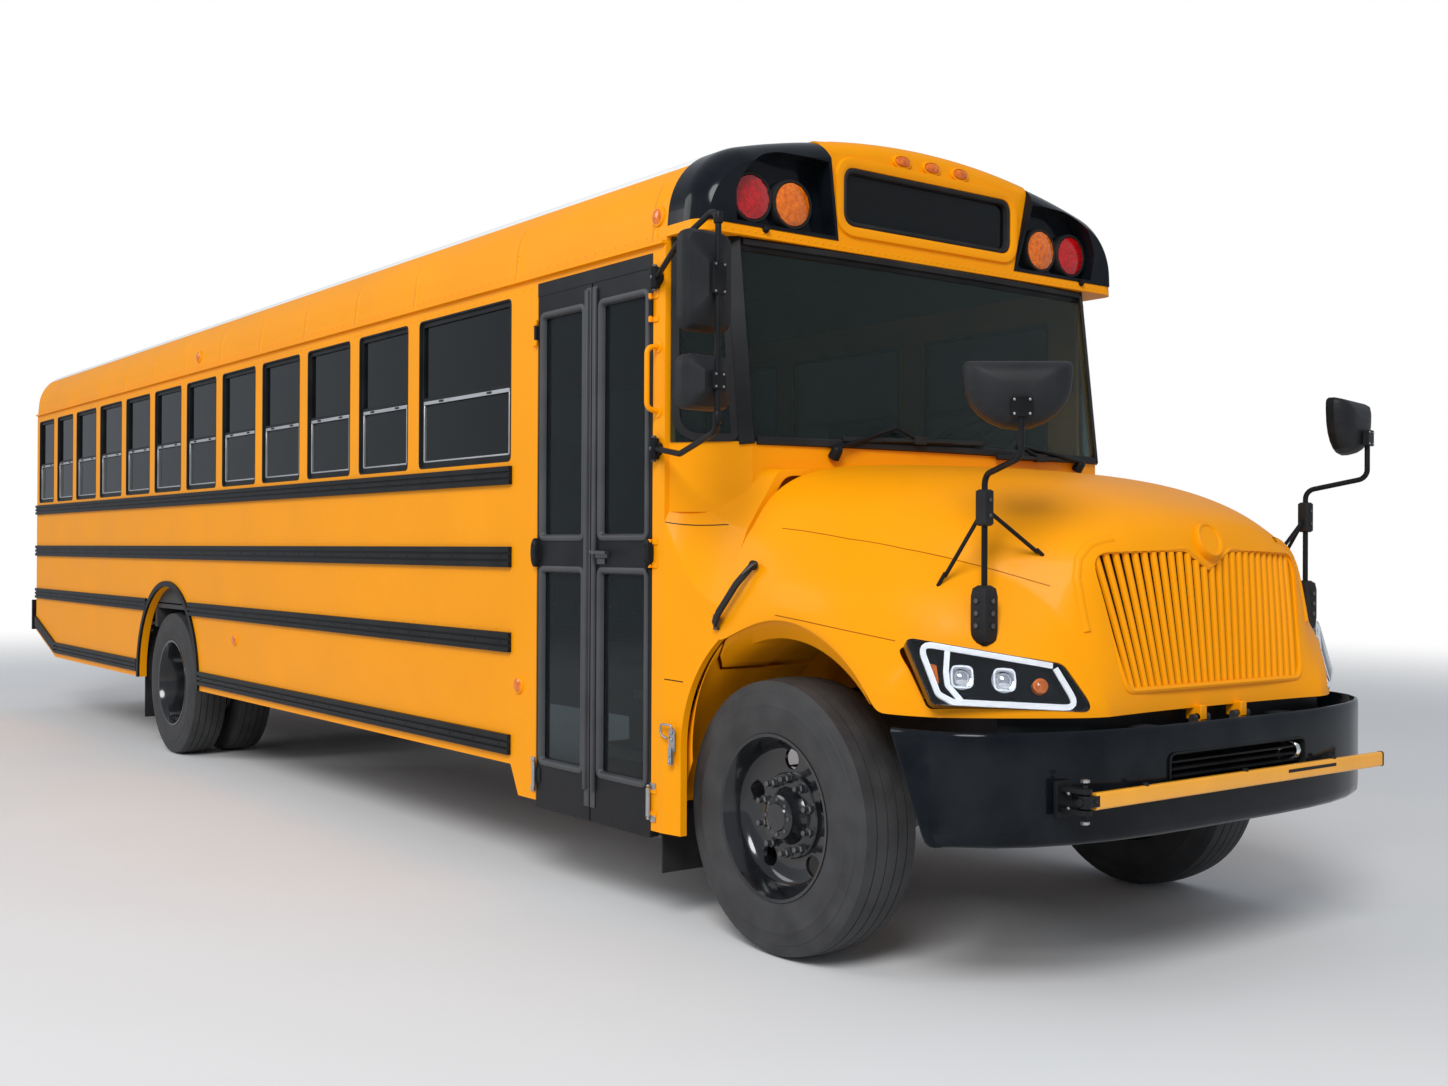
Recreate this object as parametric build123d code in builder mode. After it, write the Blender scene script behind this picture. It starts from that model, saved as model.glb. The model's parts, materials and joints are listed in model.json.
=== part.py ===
from build123d import *
import os

# Conventional school bus, in millimetres: +X forward, +Y to the driver's side, +Z up.
# Stations below are measured forward from the front axle, heights from the ground.

# Running gear
wheelbase = 6650.0
tyre_radius = 498.0
tyre_width = 270.0
rim_radius = 286.0
rim_flange = 298.0
front_wheel_face = 1135.0
rear_wheel_face = 1185.0
dual_spacing = 318.0
rear_tyre_width = 252.0
kingpin_y = 800.0
kingpin_radius = 22.0
spindle_radius = 40.0
rear_spindle_radius = 55.0
running_gap = 0.05
axle_tube_radius = 65.0
rail_y = 430.0
rail_bottom = 640.0
rail_top = 880.0
rail_flange = 80.0
rail_web = 8.0
spring_width = 76.0

# Coach body
half_width = 1219.0
wall = 50.0
rear_overhang = 3850.0
coach_front = -540.0
skirt = 500.0
rear_skirt = 700.0
skirt_rise_start = -9700.0
eave = 2610.0
roof_rise = 530.0
crown = eave + roof_rise
crown_radius = 3700.0
shoulder_y = 1189.0
shoulder_radius = 300.0
rear_corner = 120.0
floor_top = 1050.0
floor_sheet = 30.0
seat_gap = 0.3
fork_gap = 5.0

# Door hinges
hinge_barrel = 8.0
hinge_pin = 4.0
hinge_leaf = 40.0
hinge_plate = 5.0
hinge_ear = 20.0
hinge_tall = 60.0
hinge_stand = 12.0

# Side windows
window_sill = 1850.0
window_head = 2567.0
window_corner = 25.0
first_window_front = -1738.0
first_window_width = 911.0
window_width = 582.0
window_pitch = 711.0
window_front_2 = -2784.0
regular_windows = 9
short_window_width = 495.0
short_window_pitch = 628.0
short_windows = 2
sash = 26.0
sash_bar = 24.0
sash_bar_z = 2170.0
glass = 6.0

# Entrance door
door_front = -620.0
door_rear = -1501.0
door_bottom = 337.0
door_head = 2553.0
leaf_thickness = 40.0
leaf_gap = 6.0
leaf_centre_gap = 10.0
step_well_depth = 640.0

# Front end
bumper_x = 1157.0
arm_proud = 45.0
cap_x = -340.0
cap_bottom = 2655.0
rear_bumper_proud = 90.0
arch_x = 80.0
arch_z = 706.0
arch_radius = 520.0
arch_relief = 10.0
rear_arch_radius = 650.0
rear_arch_z = 530.0
rear_arch_shift = 40.0

rear_x = -(wheelbase + rear_overhang)
front_axle_x = (wheelbase + rear_overhang + rear_bumper_proud - bumper_x - arm_proud) / 2

os.makedirs("parts", exist_ok=True)


def level(z):
    """Horizontal plane at height z, local x forward and local y to the left."""
    return Plane(origin=(front_axle_x, 0, z), x_dir=(1, 0, 0), z_dir=(0, 0, 1))


def side(y):
    """Upright plane along the bus at y, local x forward and local y up, facing the curb."""
    return Plane(origin=(front_axle_x, y, 0), x_dir=(1, 0, 0), z_dir=(0, -1, 0))


def across(x):
    """Upright plane across the bus at station x, local x to the left and local y up."""
    return Plane(origin=(front_axle_x + x, 0, 0), x_dir=(0, 1, 0), z_dir=(1, 0, 0))


def at(x, y, z):
    return (front_axle_x + x, y, z)


def write(piece, name):
    piece.part.label = name
    export_step(piece.part, f"parts/{name}.step")


def hinge_pair(plane, stand, tall):
    """Fixed and moving half of a pinned hinge; local z is the pin, local x points to the
    moving panel and both panels' faces lie at local y = stand."""
    full = tall / 2 + fork_gap + hinge_ear
    with BuildPart() as fixed:
        for start in (tall / 2 + fork_gap, -full):
            with BuildSketch(plane.offset(start)):
                Circle(hinge_barrel)
                with Locations((-hinge_leaf / 2, stand - hinge_plate / 2)):
                    Rectangle(hinge_leaf, hinge_plate)
            extrude(amount=hinge_ear)
        with BuildSketch(plane.offset(-full)):
            Circle(hinge_pin)
        extrude(amount=2 * full)
    with BuildPart() as moving:
        with BuildSketch(plane.offset(-tall / 2)):
            Circle(hinge_barrel)
            with Locations((hinge_leaf / 2, stand - hinge_plate / 2)):
                Rectangle(hinge_leaf, hinge_plate)
            Circle(hinge_pin + running_gap, mode=Mode.SUBTRACT)
        extrude(amount=tall)
    return fixed.part, moving.part


def window_table():
    """Centre station and width of each side window, front to rear."""
    rows = [(first_window_front - first_window_width / 2, first_window_width)]
    front = window_front_2
    for n in range(regular_windows):
        rows.append((front - window_width / 2, window_width))
        front -= window_pitch
    front += window_pitch - window_width - (short_window_pitch - short_window_width)
    for n in range(short_windows):
        rows.append((front - short_window_width / 2, short_window_width))
        front -= short_window_pitch
    return rows


windows = window_table()
driver_window = ((-1560.0 - 700.0) / 2, 1560.0 - 700.0)
left_windows = [driver_window] + windows
window_height = window_head - window_sill
window_middle = (window_head + window_sill) / 2


def coach_outline(inset, bottom):
    """Cross-section of the coach body, sides upright to the eave under a shallow crown."""
    half = half_width - inset
    top = crown - inset
    shoulder = shoulder_y - inset
    shoulder_z = top - shoulder**2 / (2 * crown_radius)
    with BuildSketch() as outline:
        with BuildLine():
            Line((-half, bottom), (half, bottom))
            Line((half, bottom), (half, eave))
            Line((half, eave), (shoulder, shoulder_z))
            ThreePointArc((shoulder, shoulder_z), (0, top), (-shoulder, shoulder_z))
            Line((-shoulder, shoulder_z), (-half, eave))
            Line((-half, eave), (-half, bottom))
        make_face()
        shoulders = outline.vertices().sort_by(Axis.Y)[-2:]
        fillet(shoulders, radius=shoulder_radius - inset)
    return outline.sketch


def coach_solid(inset, bottom, front):
    """Closed body form with its rear edges rounded, inset from the outer skin."""
    with BuildPart() as form:
        with BuildSketch(across(rear_x + inset)):
            add(coach_outline(inset, bottom))
        extrude(amount=front - rear_x - inset)
        rear_face = form.faces().sort_by(Axis.X)[0]
        rim = rear_face.edges().sort_by(Axis.Z)[1:]
        fillet(rim, radius=rear_corner - inset)
    return form.part


outer_form = coach_solid(0, skirt, coach_front)
inner_form = coach_solid(wall, skirt - wall, coach_front + wall)


# Floor with its cross sills and the entrance step well cut out
def build_floor():
    inner = half_width - wall
    rear = rear_x + wall
    sill_height = floor_top - floor_sheet - rail_top
    with BuildPart() as floor:
        with BuildSketch(level(floor_top - floor_sheet)):
            with Locations(((rear + coach_front) / 2, 0)):
                Rectangle(coach_front - rear, 2 * inner)
        extrude(amount=floor_sheet)
        fillet(floor.edges().filter_by(Axis.Z).sort_by(Axis.X)[:2], radius=rear_corner - wall)
        with BuildSketch(level(rail_top)):
            for x in [rear + 300 + 780 * n for n in range(11)]:
                with Locations((x, 0)):
                    Rectangle(50, 2 * inner)
        extrude(amount=sill_height)
        well_x = (door_front + door_rear) / 2
        with BuildSketch(level(rail_top)):
            with Locations((well_x, -inner + step_well_depth / 2 - wall / 2)):
                Rectangle(door_front - door_rear, step_well_depth + wall)
        extrude(amount=floor_top - rail_top, mode=Mode.SUBTRACT)
    write(floor, "floor")


build_floor()


# Entrance door leaves: station of the hinge edge and of the free edge
leaf_bottom = door_bottom + 4
leaf_head = door_head - leaf_gap
door_middle = (door_front + door_rear) / 2
leaves = {
    "front": (door_front - leaf_gap, door_middle + leaf_centre_gap / 2),
    "rear": (door_rear + leaf_gap, door_middle - leaf_centre_gap / 2),
}
# Panes of a leaf: bottom, top
leaf_panes = ((545.0, 1365.0), (1508.0, 2455.0))
leaf_stile_hinge = 38.0
leaf_stile_free = 62.0
door_hinge_heights = (480.0, 1440.0, 2390.0)


def door_hinges(name):
    """Fixed and moving hinge halves of one leaf, outside the wall at its hinge edge."""
    hinge, free = leaves[name]
    turn = 1 if free < hinge else -1
    fixed, moving = [], []
    for z in door_hinge_heights:
        origin = at(hinge + turn * leaf_gap / 2, -half_width - hinge_stand, z)
        plane = Plane(origin=origin, x_dir=(-turn, 0, 0), z_dir=(0, 0, -turn))
        pair = hinge_pair(plane, hinge_stand, hinge_tall)
        fixed.append(pair[0])
        moving.append(pair[1])
    return fixed, moving


# Side walls, from the rounded rear corners to the windscreen posts
def build_side_walls():
    rear = rear_x + rear_corner
    drop = 370.0
    with BuildPart() as side_wall_left:
        with BuildSketch(side(half_width)):
            with BuildLine():
                Polyline((rear, rear_skirt), (skirt_rise_start, skirt),
                         (coach_front - 110, skirt), (coach_front - 110, drop),
                         (coach_front, drop), (coach_front, eave), (rear, eave), close=True)
            make_face()
            with Locations((-wheelbase + rear_arch_shift, rear_arch_z)):
                Circle(rear_arch_radius, mode=Mode.SUBTRACT)
            for x, width in left_windows:
                with Locations((x, window_middle)):
                    RectangleRounded(width, window_height, window_corner, mode=Mode.SUBTRACT)
        extrude(amount=wall)
    write(side_wall_left, "side_wall_left")
    with BuildPart() as side_wall_right:
        with BuildSketch(side(-half_width + wall)):
            with BuildLine():
                Polyline((rear, rear_skirt), (skirt_rise_start, skirt),
                         (door_rear - 220, skirt), (door_rear - 150, drop),
                         (coach_front, drop), (coach_front, eave), (rear, eave), close=True)
            make_face()
            with Locations((-wheelbase + rear_arch_shift, rear_arch_z)):
                Circle(rear_arch_radius, mode=Mode.SUBTRACT)
            with Locations(((door_front + door_rear) / 2, (door_head + drop) / 2 - 50)):
                Rectangle(door_front - door_rear, door_head - drop + 100, mode=Mode.SUBTRACT)
            for x, width in windows:
                with Locations((x, window_middle)):
                    RectangleRounded(width, window_height, window_corner, mode=Mode.SUBTRACT)
        extrude(amount=wall)
        for name in leaves:
            add(door_hinges(name)[0])
    write(side_wall_right, "side_wall_right")


build_side_walls()

# Drip rail along each side of the roof, over the windows
drip_rail = 24.0

# Roof hatches: centre station, on the centre line
hatch_stations = {"roof_hatch_front": -3300.0, "roof_hatch_rear": -8300.0}
hatch_opening = 580.0
hatch_curb = 40.0
hatch_curb_height = 45.0
hatch_lid = 690.0
hatch_lid_top = 30.0
hatch_hinge_y = 200.0
hatch_pin_z = crown + hatch_curb_height + seat_gap + hatch_lid_top / 2

# Rear emergency door
rear_door_width = 940.0
rear_door_bottom = 1030.0
rear_door_head = 2560.0
rear_hinge_heights = (1230.0, 1750.0, 2400.0)


def rear_door_hinges():
    """Fixed and moving hinge halves of the rear door, at its curb-side edge."""
    fixed, moving = [], []
    for z in rear_hinge_heights:
        origin = at(rear_x - hinge_stand, -rear_door_width / 2 + leaf_gap / 2, z)
        pair = hinge_pair(Plane(origin=origin, x_dir=(0, 1, 0), z_dir=(0, 0, -1)), hinge_stand,
                          hinge_tall)
        fixed.append(pair[0])
        moving.append(pair[1])
    return fixed, moving


def hatch_ears(x):
    """Pairs of ears with their pins, on the roof behind a hatch."""
    reach = hinge_tall / 2 + fork_gap + hinge_ear
    pin_x = x - hatch_lid / 2 - fork_gap - hinge_barrel
    with BuildPart() as ears:
        for hand in (-1, 1):
            middle = hand * hatch_hinge_y
            for start in (middle + reach, middle - hinge_tall / 2 - fork_gap):
                with BuildSketch(side(start)):
                    with Locations((pin_x, hatch_pin_z)):
                        Circle(hinge_barrel)
                    with Locations((pin_x, (hatch_pin_z + crown - wall / 2) / 2)):
                        Rectangle(2 * hinge_barrel, hatch_pin_z - crown + wall / 2)
                extrude(amount=hinge_ear)
            with BuildSketch(side(middle + reach)):
                with Locations((pin_x, hatch_pin_z)):
                    Circle(hinge_pin)
            extrude(amount=2 * reach)
    return ears.part


def hatch_barrels(x):
    """Barrels on a lid's rear edge, bored for the pins."""
    pin_x = x - hatch_lid / 2 - fork_gap - hinge_barrel
    link = fork_gap + hinge_barrel + hinge_ear
    with BuildPart() as barrels:
        for hand in (-1, 1):
            with BuildSketch(side(hand * hatch_hinge_y + hinge_tall / 2)):
                with Locations((pin_x, hatch_pin_z)):
                    Circle(hinge_barrel)
                with Locations((pin_x + link / 2, hatch_pin_z)):
                    Rectangle(link, hinge_barrel)
                with Locations((pin_x, hatch_pin_z)):
                    Circle(hinge_pin + running_gap, mode=Mode.SUBTRACT)
            extrude(amount=hinge_tall)
    return barrels.part


# Roof shell above the eave, with a curb round each hatch
def build_roof():
    with BuildPart() as roof:
        add(outer_form)
        add(inner_form, mode=Mode.SUBTRACT)
        split(bisect_by=Plane(origin=(0, 0, eave), z_dir=(0, 0, 1)), keep=Keep.TOP)
        split(bisect_by=Plane(origin=(front_axle_x + coach_front, 0, 0), z_dir=(-1, 0, 0)))
        with BuildSketch(across(rear_x + rear_corner)):
            for hand in (-1, 1):
                with Locations((hand * (half_width + drip_rail / 2 - 6), eave + drip_rail)):
                    Rectangle(drip_rail, drip_rail / 2)
        extrude(amount=coach_front - rear_x - rear_corner)
        for x in hatch_stations.values():
            with BuildSketch(level(crown - wall)):
                with Locations((x, 0)):
                    Rectangle(hatch_opening + 2 * hatch_curb, hatch_opening + 2 * hatch_curb)
            extrude(amount=wall + hatch_curb_height)
            with BuildSketch(level(crown - 2 * wall)):
                with Locations((x, 0)):
                    Rectangle(hatch_opening, hatch_opening)
            extrude(amount=2 * wall + hatch_curb_height, mode=Mode.SUBTRACT)
            add(hatch_ears(x))
    write(roof, "roof")


def build_hatches():
    for name, x in hatch_stations.items():
        bottom = crown + hatch_curb_height + seat_gap
        with BuildPart() as lid:
            with BuildSketch(level(bottom)):
                with Locations((x, 0)):
                    RectangleRounded(hatch_lid, hatch_lid, 40)
            extrude(amount=hatch_lid_top)
            fillet(lid.faces().sort_by(Axis.Z)[-1].edges(), radius=12)
            add(hatch_barrels(x))
        write(lid, name)


# Rear wall with rounded corners and the emergency door opening
def build_rear_wall():
    with BuildPart() as rear_wall:
        add(outer_form)
        add(inner_form, mode=Mode.SUBTRACT)
        split(bisect_by=Plane(origin=(0, 0, eave), z_dir=(0, 0, -1)), keep=Keep.TOP)
        split(bisect_by=Plane(origin=(0, 0, rear_skirt), z_dir=(0, 0, 1)), keep=Keep.TOP)
        corner_x = front_axle_x + rear_x + rear_corner
        split(bisect_by=Plane(origin=(corner_x, 0, 0), z_dir=(-1, 0, 0)), keep=Keep.TOP)
        with BuildSketch(across(rear_x - 10)):
            with Locations((0, (rear_door_bottom + rear_door_head) / 2)):
                Rectangle(rear_door_width, rear_door_head - rear_door_bottom)
            for y in (-1, 1):
                with Locations((y * 800, window_middle + 30)):
                    RectangleRounded(400, 600, window_corner)
        extrude(amount=wall + 20, mode=Mode.SUBTRACT)
        add(rear_door_hinges()[0])
    write(rear_wall, "rear_wall")


def build_rear_door():
    width = rear_door_width - 2 * leaf_gap
    height = rear_door_head - rear_door_bottom - 2 * leaf_gap
    middle = (rear_door_head + rear_door_bottom) / 2
    with BuildPart() as door:
        with BuildSketch(across(rear_x)):
            with Locations((0, middle)):
                Rectangle(width, height)
            with Locations((0, middle + 330)):
                RectangleRounded(width - 200, 560, window_corner, mode=Mode.SUBTRACT)
            with Locations((0, middle - 380)):
                RectangleRounded(width - 200, 420, window_corner, mode=Mode.SUBTRACT)
        extrude(amount=leaf_thickness)
        add(rear_door_hinges()[1])
    write(door, "emergency_door")
    with BuildPart() as panes:
        with BuildSketch(across(rear_x + leaf_thickness / 2)):
            with Locations((0, middle + 330)):
                RectangleRounded(width - 200 - 2 * seat_gap, 560 - 2 * seat_gap, window_corner)
            with Locations((0, middle - 380)):
                RectangleRounded(width - 200 - 2 * seat_gap, 420 - 2 * seat_gap, window_corner)
        extrude(amount=glass)
    write(panes, "emergency_door_glass")


build_roof()
build_hatches()
build_rear_wall()
build_rear_door()


# Slim metal sashes that hold the side glass
def build_window_frames():
    depth = 30.0
    with BuildPart() as window_frames:
        for y, rows in ((half_width - (wall - depth) / 2, left_windows),
                        (-half_width + (wall + depth) / 2, windows)):
            with BuildSketch(side(y)):
                for x, width in rows:
                    with Locations((x, window_middle)):
                        RectangleRounded(width - 2 * seat_gap, window_height - 2 * seat_gap,
                                         window_corner)
                        RectangleRounded(width - 2 * sash, window_height - 2 * sash, 4,
                                         mode=Mode.SUBTRACT)
            extrude(amount=depth)
        bar_depth = (depth - glass) / 2 - seat_gap
        outer = half_width - (wall - depth) / 2
        for y, rows in ((outer, left_windows), (bar_depth - outer, windows)):
            with BuildSketch(side(y)):
                for x, width in rows:
                    with Locations((x, sash_bar_z)):
                        Rectangle(width - 2 * sash + 2, sash_bar)
            extrude(amount=bar_depth)
    write(window_frames, "window_frames")


build_window_frames()

# Rubber flare round the rear arch
flare_width = 38.0
flare_depth = 16.0

# Rub rails: bottom and top height, front end, broken by the rear arch or not
rail_depth = 18.0
rail_rear = rear_x + rear_corner
rub_rail_rows = (
    (1742.0, 1824.0, -1720.0, False),
    (1373.0, 1465.0, -1720.0, False),
    (995.0, 1083.0, -1720.0, True),
    (540.0, 629.0, -1720.0, True),
)


def rub_rail_section(height):
    """Pressed rail section with two grooves, foot on the wall at local x = 0."""
    with BuildSketch() as section:
        with Locations((rail_depth / 2, 0)):
            Rectangle(rail_depth, height)
        for z in (-height / 6, height / 6):
            with Locations((rail_depth, z)):
                Rectangle(rail_depth, height / 8, mode=Mode.SUBTRACT)
    return section.sketch


def build_rub_rails():
    with BuildPart() as rub_rails:
        for low, high, front, broken in rub_rail_rows:
            start = rail_rear if low > rear_skirt else skirt_rise_start
            spans = [(start, front)]
            if broken:
                middle = (low + high) / 2
                reach = (rear_arch_radius + flare_width + 7) ** 2 - (middle - rear_arch_z) ** 2
                half_gap = reach**0.5
                arch_middle = -wheelbase + rear_arch_shift
                spans = [(start, arch_middle - half_gap), (arch_middle + half_gap, front)]
            for rear, end in spans:
                for hand in (-1, 1):
                    origin = at(rear, hand * half_width, (low + high) / 2)
                    plane = Plane(origin=origin, x_dir=(0, hand, 0), z_dir=(1, 0, 0))
                    with BuildSketch(plane):
                        add(rub_rail_section(high - low))
                    extrude(amount=end - rear)
        low, high = rub_rail_rows[-1][:2]
        rise = rear_skirt - skirt
        for hand in (-1, 1):
            with BuildSketch(side(hand * (half_width + rail_depth / 2) + rail_depth / 2)):
                with BuildLine():
                    Polyline((skirt_rise_start, low), (skirt_rise_start, high),
                             (rail_rear, high + rise), (rail_rear, low + rise), close=True)
                make_face()
            extrude(amount=rail_depth)
            with BuildSketch(side(hand * (half_width + flare_depth / 2) + flare_depth / 2)):
                with Locations((-wheelbase + rear_arch_shift, rear_arch_z)):
                    Circle(rear_arch_radius + flare_width)
                    Circle(rear_arch_radius, mode=Mode.SUBTRACT)
                with Locations((-wheelbase + rear_arch_shift, skirt - rear_arch_radius)):
                    Rectangle(4 * rear_arch_radius, 2 * rear_arch_radius, mode=Mode.SUBTRACT)
            extrude(amount=flare_depth)
    write(rub_rails, "rub_rails")


build_rub_rails()

# Nose form: station, half-width and top of the fender side, then half-width and height
# of the seam, of the bonnet edge, and the height of the crown on the centre line
nose_sections = (
    (coach_front, half_width, 1560.0, 1150.0, 1690.0, 1080.0, 1800.0, 1850.0),
    (-250.0, half_width - 41.0, 1250.0, 1080.0, 1540.0, 960.0, 1765.0, 1805.0),
    (350.0, half_width - 64.0, 1230.0, 1000.0, 1490.0, 800.0, 1700.0, 1760.0),
    (750.0, half_width - 74.0, 1170.0, 840.0, 1410.0, 640.0, 1590.0, 1640.0),
    (1100.0, half_width - 84.0, 1120.0, 600.0, 1290.0, 500.0, 1400.0, 1440.0),
)
hood_skin = 25.0
hood_bottom = 915.0
nose_bottom = 370.0
hood_cut_side = -250.0
hood_cut_centre = -105.0
hood_gap = 8.0
# Plan of the nose at two heights: height, front face, its half-width, corner station
nose_plans = ((900.0, 1068.0, 680.0, 850.0), (1900.0, 934.0, 780.0, 50.0))
nose_side = half_width - 59.0


def nose_outline(row, inset):
    x, side_w, side_z, seam_w, seam_z, edge_w, edge_z, top_z = row
    with BuildSketch() as outline:
        with BuildLine():
            Line((0, nose_bottom - 2 * inset), (side_w - inset, nose_bottom - 2 * inset))
            Line((side_w - inset, nose_bottom - 2 * inset), (side_w - inset, side_z - inset))
            Line((side_w - inset, side_z - inset), (seam_w - inset, seam_z - inset))
            Line((seam_w - inset, seam_z - inset), (edge_w - inset, edge_z - inset))
            Line((edge_w - inset, edge_z - inset), (0, top_z - inset))
            Line((0, top_z - inset), (0, nose_bottom - 2 * inset))
        make_face()
        mirror(about=Plane.YZ)
        rounded = outline.vertices().filter_by(lambda v: v.Y > nose_bottom + 1 and abs(v.X) > 1)
        fillet(rounded, radius=60)
    return outline.sketch


def nose_form(inset):
    """Cowl, bonnet and fenders as one form forward of the coach."""
    with BuildPart() as form:
        for row in nose_sections:
            station = row[0] - 2 * inset if row is nose_sections[0] else row[0]
            with BuildSketch(across(station)):
                add(nose_outline(row, inset))
        loft()
    return form.part


def raked_plan(inset):
    """Plan of the bonnet, raked back from its lower edge to the top."""
    with BuildPart() as plan:
        for height, front, half, corner in nose_plans:
            with BuildSketch(level(height - 2 * inset)):
                with BuildLine():
                    Polyline((corner - inset, -nose_side), (corner - inset, -nose_side - 200),
                             (-900, -nose_side - 200), (-900, nose_side + 200),
                             (corner - inset, nose_side + 200), (corner - inset, nose_side))
                    Line((corner - inset, nose_side), (front - inset, half))
                    Line((front - inset, half), (front - inset, -half))
                    Line((front - inset, -half), (corner - inset, -nose_side))
                make_face()
        loft()
    return plan.part


def plan_region(offset, far):
    """Everything from the bowed rear edge of the bonnet to the station far."""
    edge = hood_cut_side + offset
    half = half_width + wall
    with BuildPart() as region:
        with BuildSketch(level(0)):
            with BuildLine():
                ThreePointArc((edge, -half), (hood_cut_centre + offset, 0), (edge, half))
                Polyline((edge, half), (far, half), (far, -half), (edge, -half))
            make_face()
        extrude(amount=2500)
    return region.part


nose_outer = nose_form(0)
nose_inner = nose_form(hood_skin)

grille_top = 1450.0
grille_bottom = 990.0
grille_half_top = 588.0
grille_half_bottom = 495.0
grille_bars = 13
grille_bar = 20.0
grille_rim = 14.0
notch = 60.0
grille_depth = 45.0


def grille_plane(depth):
    """Raked plane of the grille's foot, local x to the left and local y up the rake."""
    low, high = nose_plans
    tilt = (high[1] - low[1]) / (high[0] - low[0])
    front = low[1] + tilt * (grille_bottom - low[0])
    face = Plane(origin=at(front, 0, grille_bottom), x_dir=(0, 1, 0), z_dir=(1, 0, -tilt))
    return face.offset(-depth)


def grille_outline(rim):
    """Tapered outline with a V notch under the bare boss, drawn in by the rim's width."""
    height = grille_top - grille_bottom
    with BuildSketch() as face:
        with BuildLine():
            Polyline((rim - grille_half_top, height - rim), (-90, height - rim),
                     (0, height - notch - rim), (90, height - rim),
                     (grille_half_top - rim, height - rim), (grille_half_bottom - rim, rim),
                     (rim - grille_half_bottom, rim), close=True)
        make_face()
    return face.sketch


def arch_tool(radius):
    with BuildPart() as tool:
        for y in (1300, -650):
            with BuildSketch(side(y)):
                with Locations((arch_x, arch_z)):
                    Circle(radius)
                with Locations((arch_x, arch_z - 400)):
                    Rectangle(2 * radius, 800)
            extrude(amount=650)
    return tool.part


def hood_form(inset):
    with BuildPart() as form:
        add(nose_form(inset))
        add(raked_plan(inset), mode=Mode.INTERSECT)
    return form.part


# Headlamps in the swept front corners of the fenders
headlamp_middle = (904.0, 930.0, 1047.0)
headlamp_facing = (0.785, 0.553, 0.28)
# Corners in the lamp's own plane: outer top, outer bottom, inner bottom, inner top
headlamp_corners = ((-305.0, 125.0), (-221.0, -86.0), (312.0, -100.0), (220.0, 56.0))
headlamp_corner_radius = 28.0
headlamp_depth = 80.0


def headlamp_form(clearance, depth):
    """Both lamp bodies, set into the corners square to their facing direction."""
    x, y, z = headlamp_middle
    face_x, face_y, face_z = headlamp_facing
    with BuildPart() as lamps:
        for hand in (-1, 1):
            plane = Plane(origin=at(x, hand * y, z), x_dir=(face_y, -hand * face_x, 0),
                          z_dir=(face_x, hand * face_y, face_z))
            with BuildSketch(plane) as outline:
                with BuildLine():
                    Polyline(*[(u, -hand * v) for u, v in headlamp_corners], close=True)
                make_face()
                fillet(outline.vertices(), radius=headlamp_corner_radius)
                if clearance:
                    offset(amount=clearance)
            extrude(amount=depth / 2, both=True)
    return lamps


def build_headlamps():
    write(headlamp_form(0, headlamp_depth), "headlamps")


build_headlamps()

# Hood pivot behind the bumper: station, height, and the tabs each side of the middle
pivot_x = 1075.0
pivot_z = 893.0
pivot_radius = 12.0
pivot_pin = 7.0
tab_y = 116.0
tab_width = 40.0


def pivot_tabs():
    """Tabs under the hood's front edge, bored for the pivot pins."""
    with BuildPart() as tabs:
        for hand in (-1, 1):
            with BuildSketch(side(hand * tab_y + tab_width / 2)):
                with Locations((pivot_x, pivot_z)):
                    Circle(pivot_radius)
                with BuildLine():
                    Polyline((pivot_x - pivot_radius, pivot_z), (pivot_x - 30, hood_bottom + 10),
                             (pivot_x - 12, hood_bottom + 10), (pivot_x + pivot_radius, pivot_z),
                             close=True)
                make_face()
                with Locations((pivot_x, pivot_z)):
                    Circle(pivot_pin + running_gap, mode=Mode.SUBTRACT)
            extrude(amount=tab_width)
    return tabs.part


def pivot_ears():
    """Ears beside each tab on the front cross member, with the pins."""
    reach = tab_width / 2 + fork_gap + hinge_ear
    with BuildPart() as ears:
        for hand in (-1, 1):
            for start in (reach, -tab_width / 2 - fork_gap):
                with BuildSketch(side(hand * tab_y + start)):
                    with Locations((pivot_x, pivot_z)):
                        Circle(pivot_radius)
                    with Locations((pivot_x, pivot_z - 25)):
                        Rectangle(2 * pivot_radius, 50)
                extrude(amount=hinge_ear)
            with BuildSketch(side(hand * tab_y + reach)):
                with Locations((pivot_x, pivot_z)):
                    Circle(pivot_pin)
            extrude(amount=2 * reach)
    return ears.part


# Tilting hood with its fenders, open below
def build_hood():
    with BuildPart() as hood:
        add(hood_form(0))
        add(hood_form(hood_skin), mode=Mode.SUBTRACT)
        add(plan_region(hood_gap, 1500), mode=Mode.INTERSECT)
        split(bisect_by=Plane(origin=(0, 0, hood_bottom), z_dir=(0, 0, 1)), keep=Keep.TOP)
        add(arch_tool(arch_radius), mode=Mode.SUBTRACT)
        with BuildSketch(grille_plane(150)):
            add(grille_outline(0))
        extrude(amount=300, mode=Mode.SUBTRACT)
        add(headlamp_form(1, 300).part, mode=Mode.SUBTRACT)
        add(pivot_tabs())
    write(hood, "hood")


windscreen_bottom = 1866.0
# Plan of the glass at its foot and head: centre, edge of the front pane, rear end
screen_plans = ((windscreen_bottom, -162.0, -275.0), (cap_bottom - seat_gap, -345.0, -372.0))
screen_half = half_width - 219.0
screen_post = 24.0
screen_end = (-530.0, half_width - 23.0)
screen_base_bottom = 1600.0


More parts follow.
